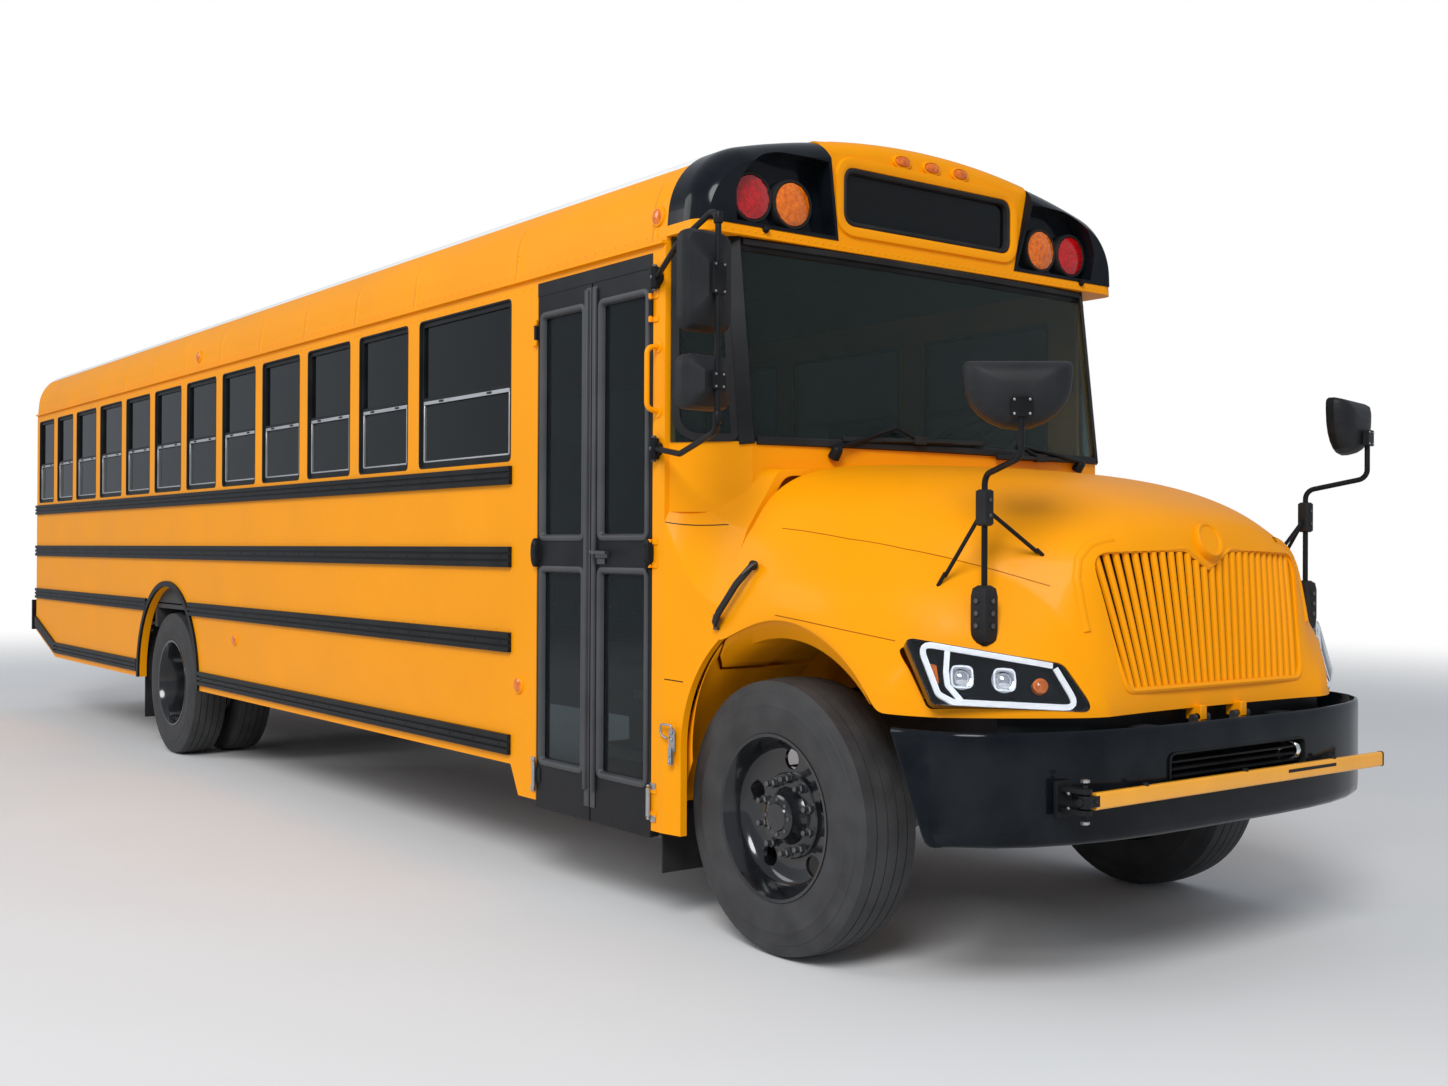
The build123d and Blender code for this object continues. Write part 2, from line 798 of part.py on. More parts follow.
def screen_posts():
    """Corner posts between the front pane and the side panes."""
    with BuildPart() as posts:
        for hand in (-1, 1):
            for height, centre, edge in screen_plans:
                with BuildSketch(level(height)):
                    with BuildLine():
                        low = (edge, hand * (screen_half + seat_gap))
                        high = (edge - screen_post, hand * (screen_half + screen_post - seat_gap))
                        Polyline(low, (high[0] + 12, high[1]), (high[0] - 30, high[1]),
                                 (low[0] - 30, low[1]), close=True)
                    make_face()
            loft()
    return posts.part


def screen_base():
    """Upstand that carries the foot of the windscreen, in plan like the glass."""
    height, centre, edge = screen_plans[0]
    with BuildPart() as base:
        with BuildSketch(level(screen_base_bottom)):
            with BuildLine():
                ThreePointArc((edge, -screen_half), (centre, 0), (edge, screen_half))
                corner = (edge - screen_post, screen_half + screen_post)
                Polyline((edge, screen_half), corner, (coach_front, screen_end[1]),
                         (coach_front, screen_end[1] - hood_skin),
                         (corner[0] - hood_skin, corner[1] - hood_skin / 2))
                ThreePointArc((corner[0] - hood_skin, corner[1] - hood_skin / 2),
                              (centre - hood_skin, 0),
                              (corner[0] - hood_skin, hood_skin / 2 - corner[1]))
                Polyline((corner[0] - hood_skin, hood_skin / 2 - corner[1]),
                         (coach_front, hood_skin - screen_end[1]),
                         (coach_front, -screen_end[1]), (corner[0], -corner[1]),
                         (edge, -screen_half))
            make_face()
        extrude(amount=height - screen_base_bottom)
    return base.part


firewall = 20.0
firewall_half = half_width - 159.0


# Cowl between the coach front and the hood, with the firewall
def build_cowl():
    with BuildPart() as cowl:
        add(nose_outer)
        add(nose_inner, mode=Mode.SUBTRACT)
        with BuildSketch(across(coach_front)):
            with Locations((0, (rail_top + 1790) / 2)):
                Rectangle(2 * firewall_half, 1790 - rail_top)
        extrude(amount=firewall)
        add(plan_region(0, -1000), mode=Mode.INTERSECT)
        add(arch_tool(arch_radius + arch_relief), mode=Mode.SUBTRACT)
        add(screen_base())
        add(screen_posts())
    write(cowl, "cowl")


# Upright bars, fanned like the outline, in a slim rim
def build_grille():
    height = grille_top - grille_bottom
    with BuildPart() as grille:
        with BuildSketch(grille_plane(grille_depth)):
            add(grille_outline(seat_gap))
            add(grille_outline(grille_rim), mode=Mode.SUBTRACT)
            for hand in (-1, 1):
                for n in range(grille_bars):
                    share = hand * (n + 0.5) / grille_bars
                    low = share * (grille_half_bottom - grille_rim)
                    high = share * (grille_half_top - grille_rim)
                    dip = notch * max(0, 1 - (abs(high) - grille_bar / 2) / 90)
                    top = height - grille_rim / 2 - dip
                    foot = grille_rim / 2
                    half = grille_bar / 2
                    with BuildLine():
                        Polyline((low - half, foot), (low + half, foot), (high + half, top),
                                 (high - half, top), close=True)
                    make_face()
        extrude(amount=grille_depth)
    write(grille, "grille")


build_hood()
build_cowl()
build_grille()


# Front cap over the windscreen and the dark lamp pods at its ends
pod_proud = 55.0
pod_foot_proud = 5.0
pod_corner = 150.0
pod_bottom = 2695.0
pod_inner_bottom = 518.0
pod_slope = 0.227
lamp_y = {"red": 935.0, "amber": 730.0}
lamp_z = 2815.0
lamp_radius = 89.0
lamp_face = -372.0
lamp_depth = 30.0
# Visor opening: inner foot, inner top, start, middle and end of its arc, outer foot
visor_outline = ((535.0, pod_bottom + 14.0), (600.0, 2990.0), (800.0, 2995.0), (985.0, 2925.0),
                 (1046.0, 2820.0), (1035.0, pod_bottom + 14.0))
sign_width = 980.0
sign_height = 235.0
sign_z = 2880.0


def cap_form(front, corner):
    with BuildPart() as form:
        with BuildSketch(across(coach_front)):
            add(coach_outline(0, eave - 100))
        extrude(amount=front - coach_front)
        rim = form.faces().sort_by(Axis.X)[-1].edges().sort_by(Axis.Z)[1:]
        fillet(rim, radius=corner)
        split(bisect_by=Plane(origin=(0, 0, cap_bottom), z_dir=(0, 0, 1)), keep=Keep.TOP)
    return form.part


def pod_region():
    """Both pod places seen from the front, in the across plane."""
    top = crown + wall
    inner = pod_inner_bottom
    outer = half_width + wall
    with BuildSketch() as region:
        for hand in (-1, 1):
            with BuildLine():
                Polyline((hand * inner, pod_bottom),
                         (hand * (inner + pod_slope * (top - pod_bottom)), top),
                         (hand * outer, top), (hand * outer, pod_bottom), close=True)
            make_face()
    return region.sketch


def pod_recess():
    """Openings of the two visors, rounded over their outer top corner."""
    with BuildSketch() as recess:
        for hand in (-1, 1):
            foot_in, top_in, arc_start, arc_middle, arc_end, foot_out = [
                (hand * y, z) for y, z in visor_outline]
            with BuildLine():
                Polyline(foot_out, foot_in, top_in, arc_start)
                ThreePointArc(arc_start, arc_middle, arc_end)
                Line(arc_end, foot_out)
            make_face()
    return recess.sketch


def build_cap():
    with BuildPart() as front_cap:
        add(cap_form(cap_x, 60))
        with BuildSketch(across(coach_front - wall)):
            add(pod_region())
        extrude(amount=400, mode=Mode.SUBTRACT)
        with BuildSketch(across(cap_x - 25)):
            with Locations((0, sign_z)):
                RectangleRounded(sign_width, sign_height, 60)
        extrude(amount=50, mode=Mode.SUBTRACT)
    write(front_cap, "front_cap")
    with BuildPart() as lamp_pods:
        add(cap_form(cap_x + pod_proud, pod_corner))
        with BuildSketch(across(coach_front - wall)):
            add(pod_region())
        extrude(amount=400, mode=Mode.INTERSECT)
        rake = (pod_proud - pod_foot_proud) / (crown - pod_bottom)
        split(bisect_by=Plane(origin=at(cap_x + pod_foot_proud, 0, pod_bottom), z_dir=(-1, 0, rake)))
        with BuildSketch(across(lamp_face - lamp_depth)):
            add(pod_recess())
        extrude(amount=400, mode=Mode.SUBTRACT)
        with BuildSketch(across(rear_x)):
            for hand in (-1, 1):
                with Locations((hand * 740, 2760)):
                    RectangleRounded(480, 250, 40)
        extrude(amount=-30)
    write(lamp_pods, "lamp_pods")
    for colour, y in lamp_y.items():
        with BuildPart() as lamps:
            with BuildSketch(across(lamp_face - lamp_depth)):
                with Locations((-y, lamp_z), (y, lamp_z)):
                    Circle(lamp_radius)
            extrude(amount=lamp_depth)
            with BuildSketch(across(rear_x - 30)):
                rear_y = 740 + (y - 832.5)
                with Locations((-rear_y, 2760), (rear_y, 2760)):
                    Circle(lamp_radius)
            extrude(amount=-25)
        write(lamps, f"{colour}_warning_lamps")


build_cap()


# Panes of the side and rear windows and of the sign over the windscreen
def build_side_glass():
    offset_in = (wall + glass) / 2
    with BuildPart() as window_glass:
        for y, rows in ((half_width - offset_in + glass, left_windows),
                        (-half_width + offset_in, windows)):
            with BuildSketch(side(y)):
                for x, width in rows:
                    with Locations((x, window_middle)):
                        RectangleRounded(width - 2 * sash - 2 * seat_gap,
                                         window_height - 2 * sash - 2 * seat_gap, 4)
            extrude(amount=glass)
        with BuildSketch(across(rear_x + wall / 2)):
            for y in (-1, 1):
                with Locations((y * 800, window_middle + 30)):
                    RectangleRounded(400 - 2 * seat_gap, 600 - 2 * seat_gap, window_corner)
        extrude(amount=glass)
        with BuildSketch(across(cap_x - 25)):
            with Locations((0, sign_z)):
                RectangleRounded(sign_width - 2 * seat_gap, sign_height - 2 * seat_gap, 60)
        extrude(amount=glass)
    write(window_glass, "window_glass")


build_side_glass()

# Windscreen: a bowed front pane and a flat pane back to the post at each side
def build_windscreen():
    with BuildPart() as windscreen:
        for height, centre, edge in screen_plans:
            with BuildSketch(level(height)):
                with BuildLine():
                    ThreePointArc((edge, -screen_half), (centre, 0), (edge, screen_half))
                    Line((edge, screen_half), (edge - glass, screen_half))
                    ThreePointArc((edge - glass, screen_half), (centre - glass, 0),
                                  (edge - glass, -screen_half))
                    Line((edge - glass, -screen_half), (edge, -screen_half))
                make_face()
        loft()
        for hand in (-1, 1):
            for height, centre, edge in screen_plans:
                with BuildSketch(level(height)):
                    with BuildLine():
                        start = (edge - screen_post, hand * (screen_half + screen_post))
                        end = (screen_end[0], hand * screen_end[1])
                        Polyline(start, end, (end[0] - glass, end[1]),
                                 (start[0] - glass, start[1]), close=True)
                    make_face()
            loft()
    write(windscreen, "windscreen")


build_windscreen()


def build_doors():
    for name, (hinge, free) in leaves.items():
        turn = 1 if free < hinge else -1
        inner_hinge = hinge - turn * leaf_stile_hinge
        inner_free = free + turn * leaf_stile_free
        pane_width = abs(inner_hinge - inner_free)
        pane_x = (inner_hinge + inner_free) / 2
        with BuildPart() as leaf:
            with BuildSketch(side(-half_width + leaf_thickness)):
                with Locations(((hinge + free) / 2, (leaf_bottom + leaf_head) / 2)):
                    Rectangle(abs(hinge - free), leaf_head - leaf_bottom)
                for low, high in leaf_panes:
                    with Locations((pane_x, (low + high) / 2)):
                        RectangleRounded(pane_width, high - low, 22, mode=Mode.SUBTRACT)
            extrude(amount=leaf_thickness)
            add(door_hinges(name)[1])
        write(leaf, f"door_leaf_{name}")
        with BuildPart() as panes:
            with BuildSketch(side(-half_width + (leaf_thickness + glass) / 2)):
                for low, high in leaf_panes:
                    with Locations((pane_x, (low + high) / 2)):
                        RectangleRounded(pane_width - 2 * seat_gap, high - low - 2 * seat_gap, 22)
            extrude(amount=glass)
        write(panes, f"door_glass_{name}")


build_doors()


# Entrance steps: tread heights with the depth where each begins, inside the door
step_rows = ((370.0, 0.0), (597.0, 225.0), (824.0, 435.0))
step_plate = 28.0


def build_steps():
    outer = half_width - leaf_thickness - 12
    back = half_width - wall - step_well_depth + wall / 2
    with BuildPart() as steps:
        with BuildSketch(across(door_rear)):
            with BuildLine():
                points = []
                for height, depth in step_rows:
                    points.append((-outer + depth, height))
                    if depth < step_rows[-1][1]:
                        following = step_rows[step_rows.index((height, depth)) + 1]
                        points.append((-outer + following[1], height))
                points.append((-back, step_rows[-1][0]))
                points.append((-back, floor_top))
                points.append((-back + step_plate, floor_top - floor_sheet))
                points[-2] = (-back, floor_top - floor_sheet)
                under = [(y + step_plate, z - step_plate) for y, z in reversed(points[1:-2])]
                under.append((-outer, points[0][1] - step_plate))
                Polyline(*points, *under, close=True)
            make_face()
        extrude(amount=door_front - door_rear)
    write(steps, "entrance_steps")


build_steps()

# Wheels: tyre section from bead to tread, half width and radius
def tyre_section(width):
    half = width / 2
    crown_drop = 6.0
    with BuildSketch() as section:
        with BuildLine():
            Polyline((-half * 0.72, rim_radius), (half * 0.72, rim_radius))
            ThreePointArc((half * 0.72, rim_radius), (half, (rim_radius + tyre_radius) / 2 - 12),
                          (half * 0.9, tyre_radius - 34))
            Line((half * 0.9, tyre_radius - 34), (half * 0.8, tyre_radius - crown_drop))
            ThreePointArc((half * 0.8, tyre_radius - crown_drop), (0, tyre_radius),
                          (-half * 0.8, tyre_radius - crown_drop))
            Line((-half * 0.8, tyre_radius - crown_drop), (-half * 0.9, tyre_radius - 34))
            ThreePointArc((-half * 0.9, tyre_radius - 34),
                          (-half, (rim_radius + tyre_radius) / 2 - 12), (-half * 0.72, rim_radius))
        make_face()
    return section.sketch


def wheel_plane(station, y, hand):
    """Plane holding the wheel's axis, local x outward along the axis, local y up."""
    return Plane(origin=at(station, y, tyre_radius), x_dir=(0, hand, 0), z_dir=(hand, 0, 0))


hub_radius = 105.0
hub_reach = 62.0
hub_depth = 150.0
rear_hub_reach = 120.0
rear_hub_depth = 200.0
disc_thickness = 14.0
rim_thickness = 12.0
hand_holes = 5
hand_hole_radius = 34.0
hand_hole_ring = 208.0


def rim_section(width, dish):
    """Rim, disc and hub in one section; dish is the disc's offset from the middle plane."""
    half = width * 0.42
    with BuildSketch() as section:
        with BuildLine():
            Polyline((-half - 10, rim_flange - 2), (-half, rim_flange - 2), (-half, rim_radius),
                     (half, rim_radius), (half, rim_flange - 2), (half + 10, rim_flange - 2),
                     (half + 10, rim_radius - rim_thickness), (dish, rim_radius - rim_thickness - 12),
                     (dish, hub_radius), (dish - disc_thickness, hub_radius),
                     (dish - disc_thickness, rim_radius - rim_thickness - 12),
                     (-half - 10, rim_radius - rim_thickness), close=True)
        make_face()
    return section.sketch


def build_wheel(name, station, hand, face, width, tyres, dish, bore, inner_reach, reach):
    """Tyres and their rims on one hub; the outer tyre's face is at the given half width."""
    axis = Axis(at(station, 0, tyre_radius), (0, 1, 0))
    with BuildPart() as tyre:
        for n in range(tyres):
            y = hand * (face - width / 2 - n * dual_spacing)
            with BuildSketch(wheel_plane(station, y, hand)):
                add(tyre_section(width))
            revolve(axis=axis)
    write(tyre, f"{name}_tyre" if tyres == 1 else f"{name}_tyres")
    with BuildPart() as wheel:
        for n in range(tyres):
            y = hand * (face - width / 2 - n * dual_spacing)
            with BuildSketch(wheel_plane(station, y, hand)):
                add(rim_section(width, dish if n == 0 else dual_spacing / 2))
            revolve(axis=axis)
        middle = hand * (face - width / 2)
        disc_y = middle + hand * dish
        inner_y = disc_y - hand * inner_reach
        outer_y = disc_y + hand * reach
        with BuildSketch(Plane(origin=at(station, inner_y, tyre_radius), z_dir=(0, hand, 0))):
            Circle(hub_radius + 1)
            Circle(bore, mode=Mode.SUBTRACT)
        extrude(amount=abs(outer_y - inner_y))
        with BuildSketch(Plane(origin=at(station, outer_y, tyre_radius), z_dir=(0, hand, 0))):
            Circle(hub_radius - 20)
        extrude(amount=12)
        hole_plane = Plane(origin=at(station, disc_y + hand * 5, tyre_radius), z_dir=(0, -hand, 0))
        with BuildSketch(hole_plane):
            with PolarLocations(hand_hole_ring, hand_holes):
                Circle(hand_hole_radius)
        extrude(amount=tyres * disc_thickness + 10, mode=Mode.SUBTRACT)
    write(wheel, f"{name}_wheel")


front_dish = 30.0
rear_dish = disc_thickness - dual_spacing / 2
for hand, hand_name in ((1, "left"), (-1, "right")):
    build_wheel(f"front_{hand_name}", 0, hand, front_wheel_face, tyre_width, 1, front_dish,
                spindle_radius + running_gap, hub_depth, hub_reach)
    build_wheel(f"rear_{hand_name}", -wheelbase, hand, rear_wheel_face, rear_tyre_width, 2,
                rear_dish, rear_spindle_radius + running_gap, rear_hub_depth, rear_hub_reach)

# Ladder frame: channel rails and cross members
frame_rear = rear_x + wall
bumper_thickness = 60.0
member_depth = 120.0
member_stations = (-9900.0, -8400.0, -7300.0, -6000.0, -4600.0, -3200.0, -1600.0)


def channel_section():
    height = rail_top - rail_bottom
    with BuildSketch() as section:
        with BuildLine():
            Polyline((0, 0), (-rail_flange, 0), (-rail_flange, rail_web), (-rail_web, rail_web),
                     (-rail_web, height - rail_web), (-rail_flange, height - rail_web),
                     (-rail_flange, height), (0, height), close=True)
        make_face()
    return section.sketch


def build_chassis():
    length = bumper_x - bumper_thickness - frame_rear
    with BuildPart() as chassis:
        for hand in (-1, 1):
            section = channel_section() if hand > 0 else channel_section().mirror(Plane.YZ)
            with BuildSketch(across(frame_rear)):
                with Locations((hand * rail_y, rail_bottom)):
                    add(section)
            extrude(amount=length)
        with BuildSketch(level(rail_top - member_depth)):
            for x in member_stations:
                with Locations((x, 0)):
                    Rectangle(70, 2 * (rail_y - rail_web))
        extrude(amount=member_depth - rail_web)
        with BuildSketch(level(rail_top - 80)):
            with Locations((pivot_x - 15, 0)):
                Rectangle(60, 2 * (rail_y - rail_web))
        extrude(amount=70)
        add(pivot_ears())
    write(chassis, "chassis_frame")


build_chassis()

# Front axle: dropped beam between the kingpin bosses
boss_radius = 38.0
boss_half = 55.0
beam_half_width = 45.0
beam_top = 500.0
beam_depth = 95.0
ear_thickness = 30.0
fork_y = 845.0
fork_thickness = 30.0


def build_front_axle():
    with BuildPart() as front_axle:
        with BuildSketch(across(-beam_half_width)):
            with BuildLine():
                Polyline((-kingpin_y, tyre_radius + boss_half - 10), (-620, beam_top),
                         (620, beam_top), (kingpin_y, tyre_radius + boss_half - 10),
                         (kingpin_y, tyre_radius - boss_half + 10), (600, beam_top - beam_depth),
                         (-600, beam_top - beam_depth),
                         (-kingpin_y, tyre_radius - boss_half + 10), close=True)
            make_face()
        extrude(amount=2 * beam_half_width)
        with BuildSketch(level(tyre_radius - boss_half - 100)):
            for hand in (-1, 1):
                with Locations((0, hand * (kingpin_y + 50))):
                    Rectangle(400, 100)
        extrude(amount=400, mode=Mode.SUBTRACT)
        with BuildSketch(level(tyre_radius - boss_half)):
            for hand in (-1, 1):
                with Locations((0, hand * kingpin_y)):
                    Circle(boss_radius)
        extrude(amount=2 * boss_half)
        with BuildSketch(level(tyre_radius - boss_half)):
            for hand in (-1, 1):
                with Locations((0, hand * kingpin_y)):
                    Circle(kingpin_radius + running_gap)
        extrude(amount=2 * boss_half, mode=Mode.SUBTRACT)
    write(front_axle, "front_axle")


def build_knuckles():
    disc_y = front_wheel_face - tyre_width / 2 + front_dish
    tip = disc_y + hub_reach - 5
    reach = boss_half + fork_gap + ear_thickness
    for hand, name in ((1, "left"), (-1, "right")):
        with BuildPart() as knuckle:
            with BuildSketch(level(tyre_radius - reach)):
                with Locations((0, hand * kingpin_y)):
                    Circle(boss_radius)
                with Locations((0, hand * (kingpin_y + fork_y + fork_thickness) / 2)):
                    Rectangle(2 * boss_radius, fork_y + fork_thickness - kingpin_y)
            extrude(amount=2 * reach)
            with BuildSketch(level(tyre_radius - boss_half - fork_gap)):
                with Locations((0, hand * (fork_y / 2))):
                    Rectangle(300, fork_y)
            extrude(amount=2 * (boss_half + fork_gap), mode=Mode.SUBTRACT)
            with BuildSketch(level(tyre_radius - reach)):
                with Locations((0, hand * kingpin_y)):
                    Circle(kingpin_radius)
            extrude(amount=2 * reach)
            root = hand * (fork_y + fork_thickness - 1)
            with BuildSketch(Plane(origin=at(0, root, tyre_radius), z_dir=(0, hand, 0))):
                Circle(spindle_radius)
            extrude(amount=tip - abs(root))
        write(knuckle, f"knuckle_{name}")


rear_tube_end = 640.0
banjo_radius = 190.0
pinion_x = 330.0


def build_rear_axle():
    disc_y = rear_wheel_face - rear_tyre_width / 2 + rear_dish
    tip = disc_y + rear_hub_reach - 5
    with BuildPart() as rear_axle:
        ends = ((axle_tube_radius, rear_tube_end), (rear_spindle_radius, tip))
        for radius, half in ends:
            with BuildSketch(Plane(origin=at(-wheelbase, -half, tyre_radius), z_dir=(0, 1, 0))):
                Circle(radius)
            extrude(amount=2 * half)
        with BuildSketch(Plane(origin=at(-wheelbase, -110, tyre_radius), z_dir=(0, 1, 0))):
            Circle(banjo_radius)
        extrude(amount=220)
        fillet(rear_axle.edges().filter_by(GeomType.CIRCLE).filter_by(
            lambda e: abs(e.radius - banjo_radius) < 1), radius=60)
        with BuildSketch(across(-wheelbase + 100)):
            with Locations((0, tyre_radius + 20)):
                Circle(75)
        extrude(amount=pinion_x - 100)
    write(rear_axle, "rear_axle")


build_front_axle()
build_knuckles()
build_rear_axle()

# Leaf springs: axle station, half length, height of the seat on the axle
spring_rows = ((0.0, 700.0, beam_top), (-wheelbase, 760.0, tyre_radius + axle_tube_radius))
spring_pack = 55.0
spring_tip = 9.0


def build_springs():
    with BuildPart() as springs:
        for station, half, seat in spring_rows:
            for hand in (-1, 1):
                inner = hand * (rail_y - rail_flange / 2) + spring_width / 2
                with BuildSketch(side(inner)):
                    with BuildLine():
                        low = rail_bottom - spring_tip
                        ThreePointArc((station - half, low), (station, seat), (station + half, low))
                        Line((station + half, low), (station + half, rail_bottom))
                        ThreePointArc((station + half, rail_bottom), (station, seat + spring_pack),
                                      (station - half, rail_bottom))
                        Line((station - half, rail_bottom), (station - half, low))
                    make_face()
                extrude(amount=spring_width)
    write(springs, "leaf_springs")


build_springs()

# Engine block and gearbox between the rails
gearbox_end = -900.0
gearbox_axis = 690.0


def build_engine():
    with BuildPart() as engine:
        with BuildSketch(level(700)):
            with Locations((325, 0)):
                Rectangle(950, 2 * (rail_y - rail_flange))
        extrude(amount=740)
        with BuildSketch(level(630)):
            with Locations(((gearbox_end - 140) / 2, 0)):
                Rectangle(-140 - gearbox_end, 340)
        extrude(amount=235)
    write(engine, "engine")


def build_drive_shaft():
    start = Vector(*at(gearbox_end - 2, 0, gearbox_axis))
    end = Vector(*at(-wheelbase + pinion_x + 2, 0, tyre_radius + 20))
    with BuildPart() as shaft:
        with BuildSketch(Plane(origin=start, z_dir=end - start)):
            Circle(45)
        extrude(amount=(end - start).length)
    write(shaft, "drive_shaft")


build_engine()
build_drive_shaft()

# Bumpers
bumper_bottom = 530.0
bumper_top = 903.0
bumper_half = 1190.0
bumper_end = 660.0
slot_half = 390.0
slot_z = (698.0, 796.0)
arm_z = 688.0
arm_half_height = 20.0
arm_half_depth = 18.0
arm_x = bumper_x + arm_proud - arm_half_depth
arm_y = 850.0
arm_pin = 8.0


def bumper_plan(inset):
    """Outer edge of the bumper seen from above, swept back at both ends."""
    half = bumper_half - inset
    front = bumper_x - inset
    with BuildSketch() as plan:
        with BuildLine():
            Polyline((bumper_end - 200, half), (920, half), (1085, 860), (front, 470),
                     (front, -470), (1085, -860), (920, -half), (bumper_end - 200, -half),
                     close=True)
        make_face()
        corners = plan.vertices().filter_by(lambda v: 900 < v.X < bumper_x - 10 - inset)
        fillet(corners, radius=150)
    return plan.sketch


def build_front_bumper():
    with BuildPart() as bumper:
        with BuildSketch(level(bumper_bottom)):
            add(bumper_plan(0))
        extrude(amount=bumper_top - bumper_bottom)
        edges = bumper.edges().filter_by(Axis.Z, reverse=True).filter_by(
            lambda e: e.center().X > front_axle_x + bumper_end - 190)
        fillet(edges, radius=28)
        with BuildSketch(level(bumper_bottom - 10)):
            with Locations((0, 0)):
                add(offset(bumper_plan(0), amount=-bumper_thickness, mode=Mode.PRIVATE))
                with Locations((bumper_end - 300, 0)):
                    Rectangle(400, 2 * (bumper_half - bumper_thickness))
        extrude(amount=bumper_top - bumper_bottom + 20, mode=Mode.SUBTRACT)
        with BuildSketch(side(bumper_half + 10)):
            with BuildLine():
                Polyline((bumper_end - 300, bumper_top + 10), (bumper_end + 20, bumper_top + 10),
                         (bumper_end + 190, bumper_bottom - 10),
                         (bumper_end - 300, bumper_bottom - 10), close=True)
            make_face()
        extrude(amount=2 * bumper_half + 20, mode=Mode.SUBTRACT)
        with BuildSketch(across(bumper_x - 100)):
            with Locations((0, sum(slot_z) / 2)):
                RectangleRounded(2 * slot_half, slot_z[1] - slot_z[0], 30)
        extrude(amount=200, mode=Mode.SUBTRACT)
        with BuildSketch(across(bumper_x - 45)):
            for n in (1, 2, 3):
                with Locations((0, slot_z[0] + n * (slot_z[1] - slot_z[0]) / 4)):
                    Rectangle(2 * slot_half, 10)
        extrude(amount=15)
        ears = (arm_z - arm_half_height - 20, arm_z + arm_half_height + 5)
        for low in ears:
            with BuildSketch(level(low)):
                with Locations((arm_x - 45, -arm_y)):
                    Rectangle(90 + 20, 44)
            extrude(amount=15)
        with BuildSketch(level(ears[0])):
            with Locations((arm_x, -arm_y)):
                Circle(arm_pin)
        extrude(amount=ears[1] + 15 - ears[0])
    write(bumper, "front_bumper")


def build_crossing_arm():
    with BuildPart() as arm:
        with BuildSketch(level(arm_z - arm_half_height)):
            with Locations((arm_x, -arm_y)):
                Circle(arm_half_depth)
            with Locations((arm_x, 0)):
                Rectangle(2 * arm_half_depth, 2 * arm_y - 24)
            with Locations((arm_x, -arm_y + 30)):
                Rectangle(30, 60)
            with Locations((arm_x, -arm_y)):
                Circle(arm_pin + running_gap, mode=Mode.SUBTRACT)
        extrude(amount=2 * arm_half_height)
    write(arm, "crossing_arm")


def build_rear_bumper():
    low, high = 706.0, 973.0
    half = half_width + 9
    with BuildPart() as bumper:
        with BuildSketch(level(low)):
            with BuildLine():
                Polyline((rear_x, -half), (rear_x, half), (rear_x - 30, half),
                         (rear_x - rear_bumper_proud, half - 68),
                         (rear_x - rear_bumper_proud, 68 - half), (rear_x - 30, -half),
                         close=True)
            make_face()
        extrude(amount=high - low)
    write(bumper, "rear_bumper")


build_front_bumper()
build_crossing_arm()
build_rear_bumper()

# Mirrors: station, distance out and height of each bend of the arm, right side
arm_radius = 11.0
mirror_pad = 26.0
mirror_pad_thickness = arm_radius + 10.0
mirror_root = half_width + arm_radius + 5.0
mirror_bends = ((-575.0, mirror_root, 2500.0), (-250.0, half_width + 151.0, 2560.0),
                (100.0, half_width + 231.0, 2625.0), (100.0, half_width + 231.0, 1860.0),
                (-230.0, half_width + 151.0, 1800.0), (-575.0, mirror_root, 1842.0))
left_mirror_shift = -1050.0
# Heads on the upright rod: middle height, height, width, depth
mirror_heads = ((2378.0, 350.0, 205.0, 90.0), (2030.0, 190.0, 205.0, 100.0))


def build_side_mirrors():
    with BuildPart() as arms:
        for hand, shift in ((-1, 0), (1, left_mirror_shift)):
            bends = [at(x + shift, hand * y, z) for x, y, z in mirror_bends]
            with BuildLine() as path:
                FilletPolyline(*bends, radius=60)
            direction = Vector(*bends[1]) - Vector(*bends[0])
            with BuildSketch(Plane(origin=bends[0], z_dir=direction)):
                Circle(arm_radius)
            sweep(path=path.line)
            for x, y, z in (mirror_bends[0], mirror_bends[-1]):
                pad_y = hand * half_width
                plane = Plane(origin=at(x + shift, pad_y, z), z_dir=(0, hand, 0))
                with BuildSketch(plane):
                    Circle(mirror_pad)
                extrude(amount=mirror_pad_thickness)
    write(arms, "side_mirror_arms")
    with BuildPart() as heads:
        rod_x, rod_y = mirror_bends[2][:2]
        for hand, shift in ((-1, 0), (1, left_mirror_shift)):
            for middle, height, width, depth in mirror_heads:
                front = rod_x + shift - arm_radius - seat_gap
                with BuildSketch(across(front - depth)):
                    with Locations((hand * rod_y, middle)):
                        RectangleRounded(width, height, 45)
                extrude(amount=depth)
        fillet(heads.faces().filter_by(Axis.X).edges(), radius=22)
    write(heads, "side_mirror_heads")


build_side_mirrors()

# Cross-view mirrors on the fenders, their shells turned outward
cross_post = (830.0, 920.0)
cross_foot = (1160.0, 1330.0)
cross_foot_size = 60.0
cross_junction = 1595.0
cross_clamp = (40.0, 110.0)
cross_knee_z = 1700.0
cross_elbow_z = 1745.0
cross_head = (1040.0, 985.0, 2050.0)
# Turn outward of the curb-side and the driver-side head
cross_head_turns = ((-1, 40.0), (1, 13.0))
cross_feet = ((643.0, 950.0, 1320.0), (860.0, 660.0, 1430.0))
cross_leg_radius = 7.0
cross_arm_radius = 10.0
cross_arm_end = 1915.0
cross_plate = (44.0, 60.0)
cross_head_width = 340.0
cross_head_height = 213.0
cross_head_side = 45.0
cross_head_depth = 90.0


